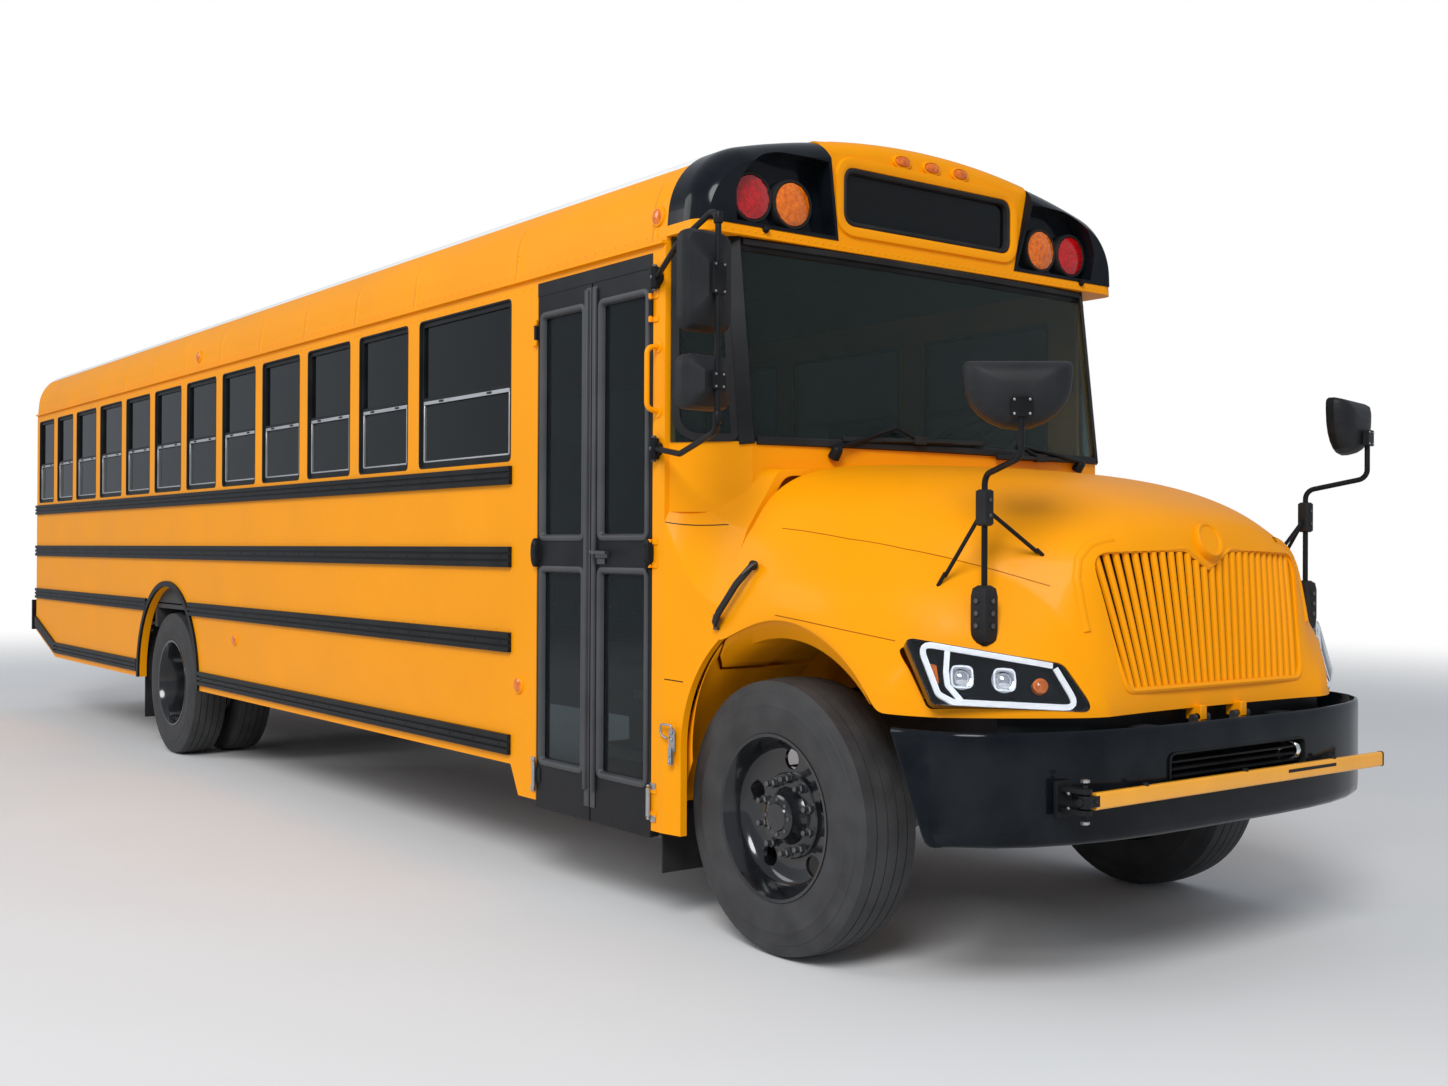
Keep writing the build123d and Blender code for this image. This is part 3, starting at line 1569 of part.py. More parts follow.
def tube(points, radius, bend):
    """Round bar along straight runs joined by arcs, or one straight run."""
    with BuildPart() as bar:
        with BuildLine() as path:
            if len(points) > 2:
                FilletPolyline(*points, radius=bend)
            else:
                Line(*points)
        with BuildSketch(Plane(origin=points[0], z_dir=Vector(*points[1]) - Vector(*points[0]))):
            Circle(radius)
        sweep(path=path.line)
    return bar.part


def cross_mirror_arms():
    """Posts with their clamps, feet and head plates, cut back to the bonnet."""
    x, side = cross_post
    head_x, head_side, head_top = cross_head
    with BuildPart() as arms:
        for hand, turn in cross_head_turns:
            y, head_y = hand * side, hand * head_side
            facing = Vector(1, 0, 0).rotate(Axis.Z, hand * turn)
            across_face = Vector(0, 1, 0).rotate(Axis.Z, hand * turn)
            stand = facing * (cross_arm_radius + seat_gap)
            end_x, end_y = head_x + stand.X, head_y + stand.Y
            add(tube([at(x, y, cross_foot[1] - cross_foot_size), at(x, y, cross_knee_z),
                      at(end_x, end_y, cross_elbow_z), at(end_x, end_y, cross_arm_end)],
                     cross_arm_radius, 40))
            for foot_x, foot_y, foot_z in cross_feet:
                add(tube([at(x, y, cross_junction), at(foot_x, hand * foot_y, foot_z)],
                         cross_leg_radius, 0))
            with BuildSketch(level(cross_foot[0])):
                with Locations((x, y)):
                    RectangleRounded(cross_foot_size, cross_foot_size, 12)
            extrude(amount=cross_foot[1] - cross_foot[0])
            width, height = cross_clamp
            with BuildSketch(level(cross_junction - height / 2)):
                with Locations((x, y)):
                    RectangleRounded(width, width, 8)
            extrude(amount=height)
            seat = at(head_x + facing.X * seat_gap, head_y + facing.Y * seat_gap,
                      cross_arm_end - cross_plate[1] / 4)
            with BuildSketch(Plane(origin=seat, x_dir=across_face, z_dir=facing)):
                RectangleRounded(*cross_plate, 6)
            extrude(amount=2 * cross_arm_radius)
        add(hood_form(-seat_gap), mode=Mode.SUBTRACT)
    return arms


def cross_mirror_shell(hand, turn):
    """Half-moon shell with a flat top, standing back from its plate."""
    head_x, head_side, head_top = cross_head
    facing = Vector(1, 0, 0).rotate(Axis.Z, hand * turn)
    across_face = Vector(0, 1, 0).rotate(Axis.Z, hand * turn)
    rear = facing * cross_head_depth
    plane = Plane(origin=at(head_x - rear.X, hand * head_side - rear.Y, head_top),
                  x_dir=across_face, z_dir=facing)
    with BuildPart() as shell:
        with BuildSketch(plane):
            with BuildLine():
                half = cross_head_width / 2
                Line((-half, 0), (half, 0))
                Line((half, 0), (half, -cross_head_side))
                ThreePointArc((half, -cross_head_side), (0, -cross_head_height),
                              (-half, -cross_head_side))
                Line((-half, -cross_head_side), (-half, 0))
            make_face()
        extrude(amount=cross_head_depth)
        ends = shell.faces().filter_by(lambda f: abs(f.normal_at().dot(facing)) > 0.99)
        fillet(ends.edges(), radius=20)
    return shell.part


def build_cross_mirror_heads():
    with BuildPart() as heads:
        for hand, turn in cross_head_turns:
            add(cross_mirror_shell(hand, turn))
    write(heads, "crossview_mirror_heads")


write(cross_mirror_arms(), "crossview_mirror_arms")
build_cross_mirror_heads()


# Seats: rows across the aisle, cushion and back in one closed form on a pedestal
row_pitch = 762.0
first_row_left = -2050.0
first_row_right = -2330.0
rows_left = 11
rows_right = 10
seat_width = 940.0
seat_outer = 1155.0


def seat_section():
    with BuildSketch() as section:
        with BuildLine():
            Polyline((0, 300), (0, 430), (-390, 440), (-470, 1000), (-560, 1000), (-490, 300),
                     close=True)
        make_face()
        fillet(section.vertices(), radius=35)
        with Locations((-250, 155)):
            Rectangle(60, 310)
    return section.sketch


def build_seats():
    with BuildPart() as seats:
        for outer, first, count in ((seat_outer, first_row_left, rows_left),
                                    (-seat_outer + seat_width, first_row_right, rows_right)):
            with BuildSketch(side(outer)):
                for n in range(count):
                    with Locations((first - n * row_pitch, floor_top)):
                        add(seat_section())
            extrude(amount=seat_width)
    write(seats, "passenger_seats")


driver_seat_x = -900.0
driver_y = 640.0


def build_driver_seat():
    with BuildPart() as seat:
        with BuildSketch(side(driver_y + 250)):
            with Locations((driver_seat_x, floor_top)):
                add(seat_section())
        extrude(amount=500)
    write(seat, "driver_seat")


def build_dashboard():
    wheel_centre = Vector(*at(-690, driver_y, 1965))
    tilt = Vector(-0.5, 0, 0.87)
    with BuildPart() as dash:
        with BuildSketch(side(1150)):
            with BuildLine():
                Polyline((coach_front - seat_gap, 1780), (-600, 1835), (-680, 1780),
                         (-650, 1500), (-570, 1400), (coach_front - seat_gap, 1400), close=True)
            make_face()
        extrude(amount=1600)
        axis_start = wheel_centre - tilt * 235
        with BuildSketch(Plane(origin=axis_start, z_dir=tilt)):
            Circle(35)
        extrude(amount=235)
        with BuildSketch(Plane(origin=wheel_centre - tilt * 12, z_dir=tilt)):
            Circle(235)
            Circle(205, mode=Mode.SUBTRACT)
            Circle(60)
            Rectangle(430, 30)
            Rectangle(30, 430)
        extrude(amount=24)
    write(dash, "dashboard")


build_seats()
build_driver_seat()
build_dashboard()

# Stop arm folded against the driver's side, blank octagon on a hinge plate
stop_x = -1990.0
stop_y = half_width + 28.0
stop_z = 1603.0
stop_barrel = 80.0
stop_ear = 25.0
stop_size = 450.0
stop_thickness = 8.0
stop_pin = 6.0


def build_stop_arm():
    with BuildPart() as arm:
        with BuildSketch(side(stop_y + stop_thickness)):
            with Locations((stop_x - 60 - stop_size / 2, stop_z)):
                RegularPolygon(stop_size / 2, 8, major_radius=False, rotation=22.5)
            with Locations((stop_x - 50, stop_z)):
                Rectangle(100, 2 * stop_barrel)
        extrude(amount=stop_thickness)
        with BuildSketch(level(stop_z - stop_barrel)):
            with Locations((stop_x, stop_y + stop_thickness / 2)):
                Circle(12)
        extrude(amount=2 * stop_barrel)
        with BuildSketch(level(stop_z - stop_barrel)):
            with Locations((stop_x, stop_y + stop_thickness / 2)):
                Circle(stop_pin + running_gap)
        extrude(amount=2 * stop_barrel, mode=Mode.SUBTRACT)
    write(arm, "stop_arm")
    with BuildPart() as bracket:
        reach = stop_barrel + fork_gap + stop_ear
        for low in (stop_z - reach, stop_z + reach - stop_ear):
            with BuildSketch(level(low)):
                with Locations((stop_x, half_width + 21)):
                    Rectangle(40, 42)
            extrude(amount=stop_ear)
        with BuildSketch(level(stop_z - reach)):
            with Locations((stop_x, stop_y + stop_thickness / 2)):
                Circle(stop_pin)
        extrude(amount=2 * reach)
    write(bracket, "stop_arm_bracket")


build_stop_arm()

# Mud flaps: station, inner edge, top height
flap_outer = half_width - wall - seat_gap
flap_rows = ((-610.0, 760.0, 900.0), (-wheelbase - 640.0, 600.0, rail_top))
flap_bottom = 200.0


def build_mud_flaps():
    with BuildPart() as flaps:
        for x, inner, top in flap_rows:
            with BuildSketch(across(x)):
                for hand in (-1, 1):
                    middle = (inner + flap_outer) / 2
                    with Locations((hand * middle, (flap_bottom + top) / 2)):
                        Rectangle(flap_outer - inner, top - flap_bottom)
            extrude(amount=-8)
    write(flaps, "mud_flaps")


build_mud_flaps()

# Marker lamps: amber on the cap and sides; tail lamps red on the rear wall
marker_radius = 30.0
shoulder_top = crown - shoulder_y**2 / (2 * crown_radius)
side_markers = ((-600.0, 2740.0), (-5991.0, 2731.0), (-5245.0, 872.0), (-1648.0, 855.0))


def build_marker_lamps():
    with BuildPart() as markers:
        with BuildSketch(across(cap_x)):
            for y in (-170, 0, 170):
                with Locations((y, 3065)):
                    Ellipse(42, 20)
        extrude(amount=14)
        for hand in (-1, 1):
            for x, z in side_markers:
                lean = (half_width - shoulder_y) / (shoulder_top - eave)
                y = half_width + seat_gap - max(0, z - marker_radius - eave) * lean
                with BuildSketch(Plane(origin=at(x, hand * y, z), z_dir=(0, hand, 0))):
                    Circle(marker_radius)
                extrude(amount=14)
    write(markers, "marker_lamps")
    with BuildPart() as tails:
        with BuildSketch(across(rear_x)):
            for hand in (-1, 1):
                for y, z, r in ((800, 1420, 88), (990, 1420, 60), (990, 1200, 88)):
                    with Locations((hand * y, z)):
                        Circle(r)
        extrude(amount=-25)
    write(tails, "tail_lamps")


build_marker_lamps()

# Fuel tank on the curb side rail and the exhaust along the other
tank_rows = (-5150.0, -3950.0)
exhaust_y = 525.0
exhaust_z = 720.0
pipe_radius = 38.0
muffler_rows = (-4300.0, -3350.0)


def build_tank():
    with BuildPart() as tank:
        with BuildSketch(across(tank_rows[0])):
            with Locations((-(rail_y + 1040) / 2, (560 + rail_top - 4) / 2)):
                RectangleRounded(1040 - rail_y, rail_top - 4 - 560, 70)
        extrude(amount=tank_rows[1] - tank_rows[0])
    write(tank, "fuel_tank")


def build_exhaust():
    tail = [at(-900, exhaust_y, exhaust_z), at(-8900, exhaust_y, exhaust_z),
            at(-9500, exhaust_y + 200, 600), at(rear_x - 60, exhaust_y + 200, 600)]
    with BuildPart() as exhaust:
        add(tube(tail, pipe_radius, 300))
        with BuildSketch(across(muffler_rows[0])):
            with Locations((exhaust_y + 15, exhaust_z)):
                Circle(105)
        extrude(amount=muffler_rows[1] - muffler_rows[0])
        for x in (-2350, -4690, -8590):
            with BuildSketch(level(exhaust_z)):
                with Locations((x, exhaust_y)):
                    Rectangle(30, 10)
            extrude(amount=rail_top - exhaust_z)
    write(exhaust, "exhaust")


build_tank()
build_exhaust()
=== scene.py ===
import json
import math

import bmesh
import bpy
from mathutils import Matrix, Vector

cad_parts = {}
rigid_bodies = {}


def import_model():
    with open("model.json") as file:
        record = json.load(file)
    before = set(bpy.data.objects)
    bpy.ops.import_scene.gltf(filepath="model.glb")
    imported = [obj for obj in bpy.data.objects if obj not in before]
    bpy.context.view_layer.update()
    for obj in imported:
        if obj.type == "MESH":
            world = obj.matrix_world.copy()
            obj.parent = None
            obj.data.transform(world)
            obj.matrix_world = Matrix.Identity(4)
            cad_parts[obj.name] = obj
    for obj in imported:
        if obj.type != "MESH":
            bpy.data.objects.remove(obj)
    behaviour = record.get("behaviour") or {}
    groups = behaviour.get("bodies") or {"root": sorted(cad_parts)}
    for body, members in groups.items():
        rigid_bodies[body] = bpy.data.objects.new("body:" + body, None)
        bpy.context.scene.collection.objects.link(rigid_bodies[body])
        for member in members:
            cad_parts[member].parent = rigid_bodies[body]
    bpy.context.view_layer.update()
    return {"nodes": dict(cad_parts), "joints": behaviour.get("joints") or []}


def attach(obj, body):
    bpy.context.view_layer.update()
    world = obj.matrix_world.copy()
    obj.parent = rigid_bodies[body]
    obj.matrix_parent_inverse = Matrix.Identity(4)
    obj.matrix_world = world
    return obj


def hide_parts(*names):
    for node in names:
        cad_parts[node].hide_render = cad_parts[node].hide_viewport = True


# A yellow conventional school bus. Every piece below is written in metres from the front axle's
# station (x forward, y to the driver's side, z up); mesh_object() moves it to the frame's origin.
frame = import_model()
joints = {joint["name"]: joint for joint in frame["joints"]}
axle_x = joints["steer_left"]["pos_m"][0]
origin = Vector((axle_x, 0, 0))
coach = joints["steer_left"]["parent"]

tyre_radius = 0.498
rear_axle_x = -6.65  # wheelbase behind the front axle
wall_y = 1.219  # outer face of the side walls
tail_x = -10.4995  # outer face of the rear wall
window_pitch, seat_pitch = 0.711, 0.762
right, left = hands = -1, 1
degrees = math.radians


def lerp(a, b, t):
    return a + (b - a) * t


def set_inputs(node, **values):
    """Sets a shader node's constants; an underscore in a name stands for a space."""
    for name, value in values.items():
        node.inputs[name.replace("_", " ")].default_value = value


def wire(owner, *runs):
    """Links shader nodes: runs are (node, output, node, input)."""
    for source, output, target, entry in runs:
        owner.node_tree.links.new(source.outputs[output], target.inputs[entry])


# Materials: each is a procedural finish with its own mottling, roughness and relief
def finish(name, colour, rough=0.4, metal=0.0, coat=0.0, mottle=0.08, scale=6.0, relief=0.02,
           grain=180.0, clear=0.0, glow=0.0, ior=1.5, second=None):
    """Material whose colour and roughness drift by mottle over clouds of 1 / scale metres, with a
    fine relief of its own grain; second is the colour at the other end of the drift."""
    made = bpy.data.materials.new(name)
    made.use_nodes = True
    nodes = made.node_tree.nodes
    shader = nodes["Principled BSDF"]
    set_inputs(shader, Metallic=metal, Coat_Weight=coat, Coat_Roughness=0.06,
               Transmission_Weight=clear, IOR=ior)
    place = nodes.new("ShaderNodeTexCoord")
    clouds = nodes.new("ShaderNodeTexNoise")
    set_inputs(clouds, Scale=scale, Detail=5.0)
    ramp = nodes.new("ShaderNodeValToRGB")
    darker = [c * (1 - mottle) for c in colour]
    lighter = second or [min(1.0, c * (1 + mottle) + 0.03 * mottle) for c in colour]
    for end, position, tone in zip(ramp.color_ramp.elements, (0.3, 0.7), (darker, lighter)):
        end.position = position
        end.color = (*tone, 1)
    sheen = nodes.new("ShaderNodeMapRange")
    set_inputs(sheen, To_Min=rough * 0.8, To_Max=min(1.0, rough * 1.25))
    wire(made, (place, "Object", clouds, "Vector"), (clouds, "Fac", ramp, "Fac"),
         (ramp, "Color", shader, "Base Color"), (clouds, "Fac", sheen, "Value"),
         (sheen, "Result", shader, "Roughness"))
    if relief:
        fine = nodes.new("ShaderNodeTexNoise")
        set_inputs(fine, Scale=grain)
        bump = nodes.new("ShaderNodeBump")
        set_inputs(bump, Strength=relief, Distance=0.002)
        wire(made, (place, "Object", fine, "Vector"), (fine, "Fac", bump, "Height"),
             (bump, "Normal", shader, "Normal"))
    if glow:
        set_inputs(shader, Emission_Color=(*colour, 1), Emission_Strength=glow)
    return made


def two_tone(material, upper, height):
    """Paints what lies above a height in a second colour."""
    nodes = material.node_tree.nodes
    shader = nodes["Principled BSDF"]
    lower = shader.inputs["Base Color"].links[0].from_node
    place, split = nodes.new("ShaderNodeNewGeometry"), nodes.new("ShaderNodeSeparateXYZ")
    step, mix = nodes.new("ShaderNodeMath"), nodes.new("ShaderNodeMix")
    step.operation = "GREATER_THAN"
    step.inputs[1].default_value = height
    mix.data_type = "RGBA"
    mix.inputs[7].default_value = (*upper, 1)
    # The sockets 6 and 7 of the mix are its two colours, and output 2 is the mixed one
    wire(material, (place, "Position", split, 0), (split, "Z", step, 0), (step, 0, mix, 0),
         (lower, "Color", mix, 6), (mix, 2, shader, "Base Color"))
    return material


bus_yellow, white = (0.93, 0.335, 0.0), (0.86, 0.86, 0.84)
paint = dict(rough=0.42, coat=0.03, mottle=0.03, scale=2.0, relief=0.01, ior=1.22)
yellow = finish("body_yellow", bus_yellow, **paint)
roof_paint = two_tone(finish("roof_paint", bus_yellow, **paint), white, 2.945)
roof_white = finish("roof_white", white, 0.4, coat=0.3, mottle=0.04, scale=3.0)
gloss_black = finish("gloss_black", (0.003, 0.005, 0.008), 0.12, coat=0.08, mottle=0.2,
                     relief=0.004, ior=1.22)
satin_black = finish("satin_black", (0.007, 0.008, 0.009), 0.38, mottle=0.2, relief=0.03, ior=1.22)
door_black = finish("door_black", (0.012, 0.013, 0.015), 0.34, mottle=0.12, relief=0.01, ior=1.22)
grained_black = finish("grained_black", (0.014, 0.015, 0.017), 0.5, mottle=0.15, relief=0.25,
                       grain=420, ior=1.3)
rubber = finish("rubber", (0.014, 0.014, 0.015), 0.62, mottle=0.2, relief=0.08, grain=260, ior=1.3)
seal_grey = finish("seal_grey", (0.045, 0.046, 0.05), 0.5, mottle=0.15, relief=0.05)
tyre_wall = finish("tyre_wall", (0.03, 0.03, 0.031), 0.7, mottle=0.25, scale=9, relief=0.15,
                   grain=300)
wheel_black = finish("wheel_black", (0.008, 0.009, 0.011), 0.16, coat=0.5, mottle=0.2, relief=0.01,
                     ior=1.4)
frame_black = finish("frame_black", (0.02, 0.02, 0.022), 0.55, mottle=0.3, relief=0.1, grain=90)
cast = finish("cast_metal", (0.09, 0.085, 0.08), 0.62, metal=0.6, mottle=0.3, relief=0.35,
              grain=110)
steel = finish("steel", (0.42, 0.43, 0.44), 0.34, metal=0.9, mottle=0.12, relief=0.05)
dark_steel = finish("dark_steel", (0.12, 0.12, 0.125), 0.38, metal=0.8, mottle=0.2, relief=0.06)
aluminium = finish("aluminium", (0.6, 0.61, 0.62), 0.32, metal=0.85, mottle=0.06, relief=0.03)
chrome = finish("chrome", (0.8, 0.81, 0.83), 0.08, metal=1.0, mottle=0.03, relief=0.0)
tinted = finish("tinted_glass", (0.02, 0.026, 0.03), 0.02, clear=0.8, mottle=0.05, relief=0.0,
                ior=1.3)
clear_glass = finish("clear_glass", (0.28, 0.38, 0.36), 0.02, clear=0.97, mottle=0.03, relief=0.0,
                     ior=1.2)
door_glass = finish("door_glass", (0.13, 0.17, 0.18), 0.02, clear=0.95, mottle=0.04, relief=0.0,
                    ior=1.22)
lens_clear = finish("lens_clear", (0.95, 0.97, 1.0), 0.03, clear=1.0, mottle=0.01, relief=0.0,
                    ior=1.3)
mirror_glass = finish("mirror_glass", (0.85, 0.87, 0.88), 0.03, metal=1.0, mottle=0.02, relief=0.0)
red_lens = finish("red_lens", (0.42, 0.003, 0.004), 0.16, coat=0.4, mottle=0.3, scale=60,
                  relief=0.2, grain=60, second=(0.58, 0.006, 0.008), glow=0.05)
amber_lens = finish("amber_lens", (0.72, 0.12, 0.001), 0.16, coat=0.4, mottle=0.3, scale=60,
                    relief=0.2, grain=60, second=(0.88, 0.2, 0.003), glow=0.05)
light_guide = finish("light_guide", (0.92, 0.95, 1.0), 0.2, mottle=0.02, relief=0.0, glow=0.25)
vinyl = finish("seat_vinyl", (0.03, 0.033, 0.042), 0.45, mottle=0.15, relief=0.4, grain=350)
floor_rubber = finish("floor_rubber", (0.03, 0.03, 0.031), 0.6, mottle=0.3, relief=0.3, grain=120)
tread_trim = finish("tread_trim", (0.55, 0.57, 0.57), 0.4, mottle=0.1, relief=0.1)
liner_grey = finish("liner_grey", (0.05, 0.054, 0.052), 0.6, mottle=0.1, relief=0.05, ior=1.3)
# dark amber copy of the paint: painted shade along the hood's creases
painted_crease_shade = finish("painted_crease_shade", (0.3, 0.085, 0.0), 0.6, mottle=0.2, relief=0.02, ior=1.2)
# dark amber copy of the paint: painted shade for the deep gaps between the grille blades
painted_grille_shade = finish("painted_grille_shade", (0.05, 0.016, 0.001), 0.6, mottle=0.2, relief=0.02, ior=1.2)
sign_red = finish("sign_red", (0.62, 0.01, 0.012), 0.35, coat=0.4, mottle=0.06, relief=0.05)
sign_white = finish("sign_white", (0.85, 0.85, 0.84), 0.4, mottle=0.04, relief=0.03)
arm_yellow = finish("arm_yellow", (0.95, 0.4, 0.01), 0.28, coat=0.5, mottle=0.05, relief=0.01)


# Shapes: points and faces gathered from simple forms
def placed(axis, u, v, w):
    """Point (u, v) of the plane across an axis (x: y,z; y: x,z; z: x,y), w along the axis."""
    return {"x": (w, u, v), "y": (u, w, v), "z": (u, v, w)}[axis]


def heading(path, n):
    """Direction of a path at its point n."""
    return (path[min(n + 1, len(path) - 1)] - path[max(n - 1, 0)]).normalized()


class Shape:
    def __init__(self):
        self.points = []
        self.faces = []

    def take(self, points, faces):
        base = len(self.points)
        self.points += [Vector(p) for p in points]
        self.faces += [tuple(base + i for i in face) for face in faces]
        return self

    def prism(self, outline, axis, start, end):
        """Outline drawn in the plane across the axis, from end to end."""
        count = len(outline)
        points = [placed(axis, u, v, w) for w in (start, end) for u, v in outline]
        faces = [tuple(range(count)), tuple(range(2 * count - 1, count - 1, -1))]
        faces += [(i, i + count, (i + 1) % count + count, (i + 1) % count) for i in range(count)]
        return self.take(points, faces)

    def box(self, corner, opposite):
        (a, d), (b, e), (c, f) = (sorted(pair) for pair in zip(corner, opposite))
        return self.prism([(a, b), (d, b), (d, e), (a, e)], "z", c, f)

    def rings(self, rings, closed=True, caps=True):
        """Skin over rings of points of one count."""
        count = len(rings[0])
        span = count if closed else count - 1
        faces = []
        for low in range(0, (len(rings) - 1) * count, count):
            for i in range(span):
                j = (i + 1) % count
                faces.append((low + i, low + j, low + count + j, low + count + i))
        if caps:
            faces.append(tuple(reversed(range(count))))
            faces.append(tuple(range((len(rings) - 1) * count, len(rings) * count)))
        return self.take([p for ring in rings for p in ring], faces)

    def sheet(self, rings):
        """Open skin over rows of points."""
        return self.rings(rings, closed=False, caps=False)

    def lathe(self, profile, centre, axis, steps=48, caps=True):
        """Profile of (distance along the axis, radius) turned round the axis through centre."""
        axis = Vector(axis).normalized()
        u = axis.orthogonal().normalized()
        v = axis.cross(u)
        angles = [2 * math.pi * i / steps for i in range(steps)]
        return self.rings([[Vector(centre) + axis * along
                            + (u * math.cos(a) + v * math.sin(a)) * radius for a in angles]
                           for along, radius in profile], caps=caps)

    def tube(self, path, radius, sides):
        """Round bar along a path; radius is one value or one for each point."""
        path = [Vector(p) for p in path]
        radii = radius if isinstance(radius, (list, tuple)) else [radius] * len(path)
        rings = []
        normal = heading(path, 0).orthogonal().normalized()
        for n, point in enumerate(path):
            along = heading(path, n)
            normal = (normal - along * normal.dot(along)).normalized()
            other = along.cross(normal)
            rings.append([point + (normal * math.cos(a) + other * math.sin(a)) * radii[n]
                          for a in (2 * math.pi * i / sides for i in range(sides))])
        return self.rings(rings)

    def strip(self, path, width, height, up, caps=True):
        """Rectangular bar along a path, its height along the direction up."""
        path = [Vector(p) for p in path]
        rings = []
        for n, point in enumerate(path):
            along = heading(path, n)
            rise = (Vector(up) - along * along.dot(Vector(up))).normalized()
            across = along.cross(rise)
            rings.append([point + across * a * width / 2 + rise * b * height
                          for a, b in ((-1, 0), (1, 0), (1, 1), (-1, 1))])
        return self.rings(rings, caps=caps)

    def nut(self, centre, axis, radius, height):
        return self.lathe([(0, radius), (height * 0.8, radius), (height, radius * 0.75)], centre,
                          axis, 6)

    def mirrored(self):
        """Adds the same form on the other side."""
        count = len(self.points)
        self.points += [Vector((p.x, -p.y, p.z)) for p in self.points]
        self.faces += [tuple(count + i for i in reversed(face)) for face in self.faces]
        return self


def shapes(count):
    """That many empty shapes."""
    return [Shape() for _ in range(count)]


def rounded_corner(p, before, after, radius, steps):
    """Points of the curve that rounds corner p between its neighbours."""
    before, after = before - p, after - p
    reach = min(radius / math.tan(before.angle(after) / 2), before.length * 0.49,
                after.length * 0.49)
    start, end = p + before.normalized() * reach, p + after.normalized() * reach
    return [start.lerp(p, s / steps).lerp(p.lerp(end, s / steps), s / steps)
            for s in range(steps + 1)]


def rounded(corners, radius, steps=6):
    """Closed outline with its corners rounded; radius is one value or one for each corner."""
    spots = [Vector(c) for c in corners]
    radii = radius if isinstance(radius, (list, tuple)) else [radius] * len(spots)
    out = []
    for i, p in enumerate(spots):
        after = spots[(i + 1) % len(spots)]
        out += rounded_corner(p, spots[i - 1], after, radii[i], steps) if radii[i] > 0 else [p]
    return [tuple(p) for p in out]


def rectangle(u0, u1, v0, v1, radius, steps=6):
    return rounded([(u0, v0), (u1, v0), (u1, v1), (u0, v1)], radius, steps)


def oval(axis, u, v, w, across, tall):
    """Ring of points round an ellipse in the plane across the axis."""
    count = 28
    return [placed(axis, u + across * math.cos(a), v + tall * math.sin(a), w)
            for a in (2 * math.pi * i / count for i in range(count))]


def bent(points, radius, steps=6):
    """Open path with its inner corners rounded."""
    path = [Vector(p) for p in points]
    out = [path[0]]
    for before, p, after in zip(path, path[1:], path[2:]):
        out += rounded_corner(p, before, after, radius, steps)
    return out + [path[-1]]


def both_sides(half):
    """Row of points from the centre line outward, with its mirror image before it."""
    return [Vector((p.x, -p.y, p.z)) for p in reversed(half[1:])] + half


def linked(name, data):
    made = bpy.data.objects.new(name, data)
    bpy.context.scene.collection.objects.link(made)
    return made


def mesh_object(name, shape):
    """Object of a shape, moved to the frame's origin, its faces turned outward."""
    mesh = bpy.data.meshes.new(name)
    mesh.from_pydata([p + origin for p in shape.points], [], shape.faces)
    work = bmesh.new()
    work.from_mesh(mesh)
    bmesh.ops.recalc_face_normals(work, faces=work.faces)
    work.to_mesh(mesh)
    work.free()
    return linked(name, mesh)


def crisp(made, corner):
    """Smooth shading that leaves edges over the corner angle crisp."""
    made.data.shade_smooth()
    made.data.set_sharp_from_angle(angle=degrees(corner))


def soften(made, width, corner):
    """Small rounding of the edges over the corner angle."""
    edges = made.modifiers.new("soften", "BEVEL")
    edges.width = width
    edges.segments = 2
    edges.limit_method = "ANGLE"
    edges.angle_limit = degrees(corner)


def piece(name, shape, material, body=coach, bevel=0.0, smooth=35, replaces=(), levels=0,
          thick=0.0):
    """One finished piece from a shape: placed in the frame, dressed and set on its body."""
    made = mesh_object(name, shape)
    made.data.materials.append(material)
    if levels:
        divide = made.modifiers.new("divide", "SUBSURF")
        divide.levels = divide.render_levels = levels
    if thick:
        made.modifiers.new("shell", "SOLIDIFY").thickness = thick
    if bevel:
        soften(made, bevel, 35)
    if levels:
        made.data.shade_smooth()
    else:
        crisp(made, smooth)
    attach(made, body)
    if replaces:
        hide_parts(*replaces)
    return made


def cut_out(target, cutter_shape, name, corner):
    """Cuts a closed shape out of a piece, drops the cutter and shades the piece again."""
    cutter = mesh_object(name, cutter_shape)
    cut = target.modifiers.new(name, "BOOLEAN")
    cut.operation = "DIFFERENCE"
    cut.solver = "EXACT"
    cut.object = cutter
    bpy.context.view_layer.update()
    depsgraph = bpy.context.evaluated_depsgraph_get()
    result = bpy.data.meshes.new_from_object(target.evaluated_get(depsgraph))
    target.modifiers.clear()
    target.data = result
    bpy.data.objects.remove(cutter)
    crisp(target, corner)


# Materials of the CAD nodes, and the softened edges of those that stay shown
node_looks = (
    (yellow, "cowl side_wall_left side_wall_right rear_wall front_cap emergency_door hood grille"),
    (roof_paint, "roof"),
    (roof_white, "roof_hatch_front roof_hatch_rear"),
    (door_black, "door_leaf_front door_leaf_rear"),
    (gloss_black, "lamp_pods front_bumper"),
    (satin_black, "rear_bumper rub_rails window_frames side_mirror_arms crossview_mirror_arms "
     "stop_arm_bracket"),
    (grained_black, "side_mirror_heads crossview_mirror_heads dashboard"),
    (clear_glass, "windscreen"),
    (tinted, "window_glass emergency_door_glass"),
    (door_glass, "door_glass_front door_glass_rear"),
    (lens_clear, "headlamps"),
    (red_lens, "red_warning_lamps tail_lamps"),
    (amber_lens, "amber_warning_lamps marker_lamps"),
    (sign_red, "stop_arm"),
    (arm_yellow, "crossing_arm"),
    (floor_rubber, "entrance_steps floor"),
    (vinyl, "driver_seat passenger_seats"),
    (rubber, "mud_flaps front_left_tyre front_right_tyre rear_left_tyres rear_right_tyres"),
    (wheel_black, "front_left_wheel front_right_wheel rear_left_wheel rear_right_wheel"),
    (frame_black, "chassis_frame front_axle rear_axle fuel_tank"),
    (dark_steel, "leaf_springs drive_shaft exhaust"),
    (cast, "engine knuckle_left knuckle_right"),
)
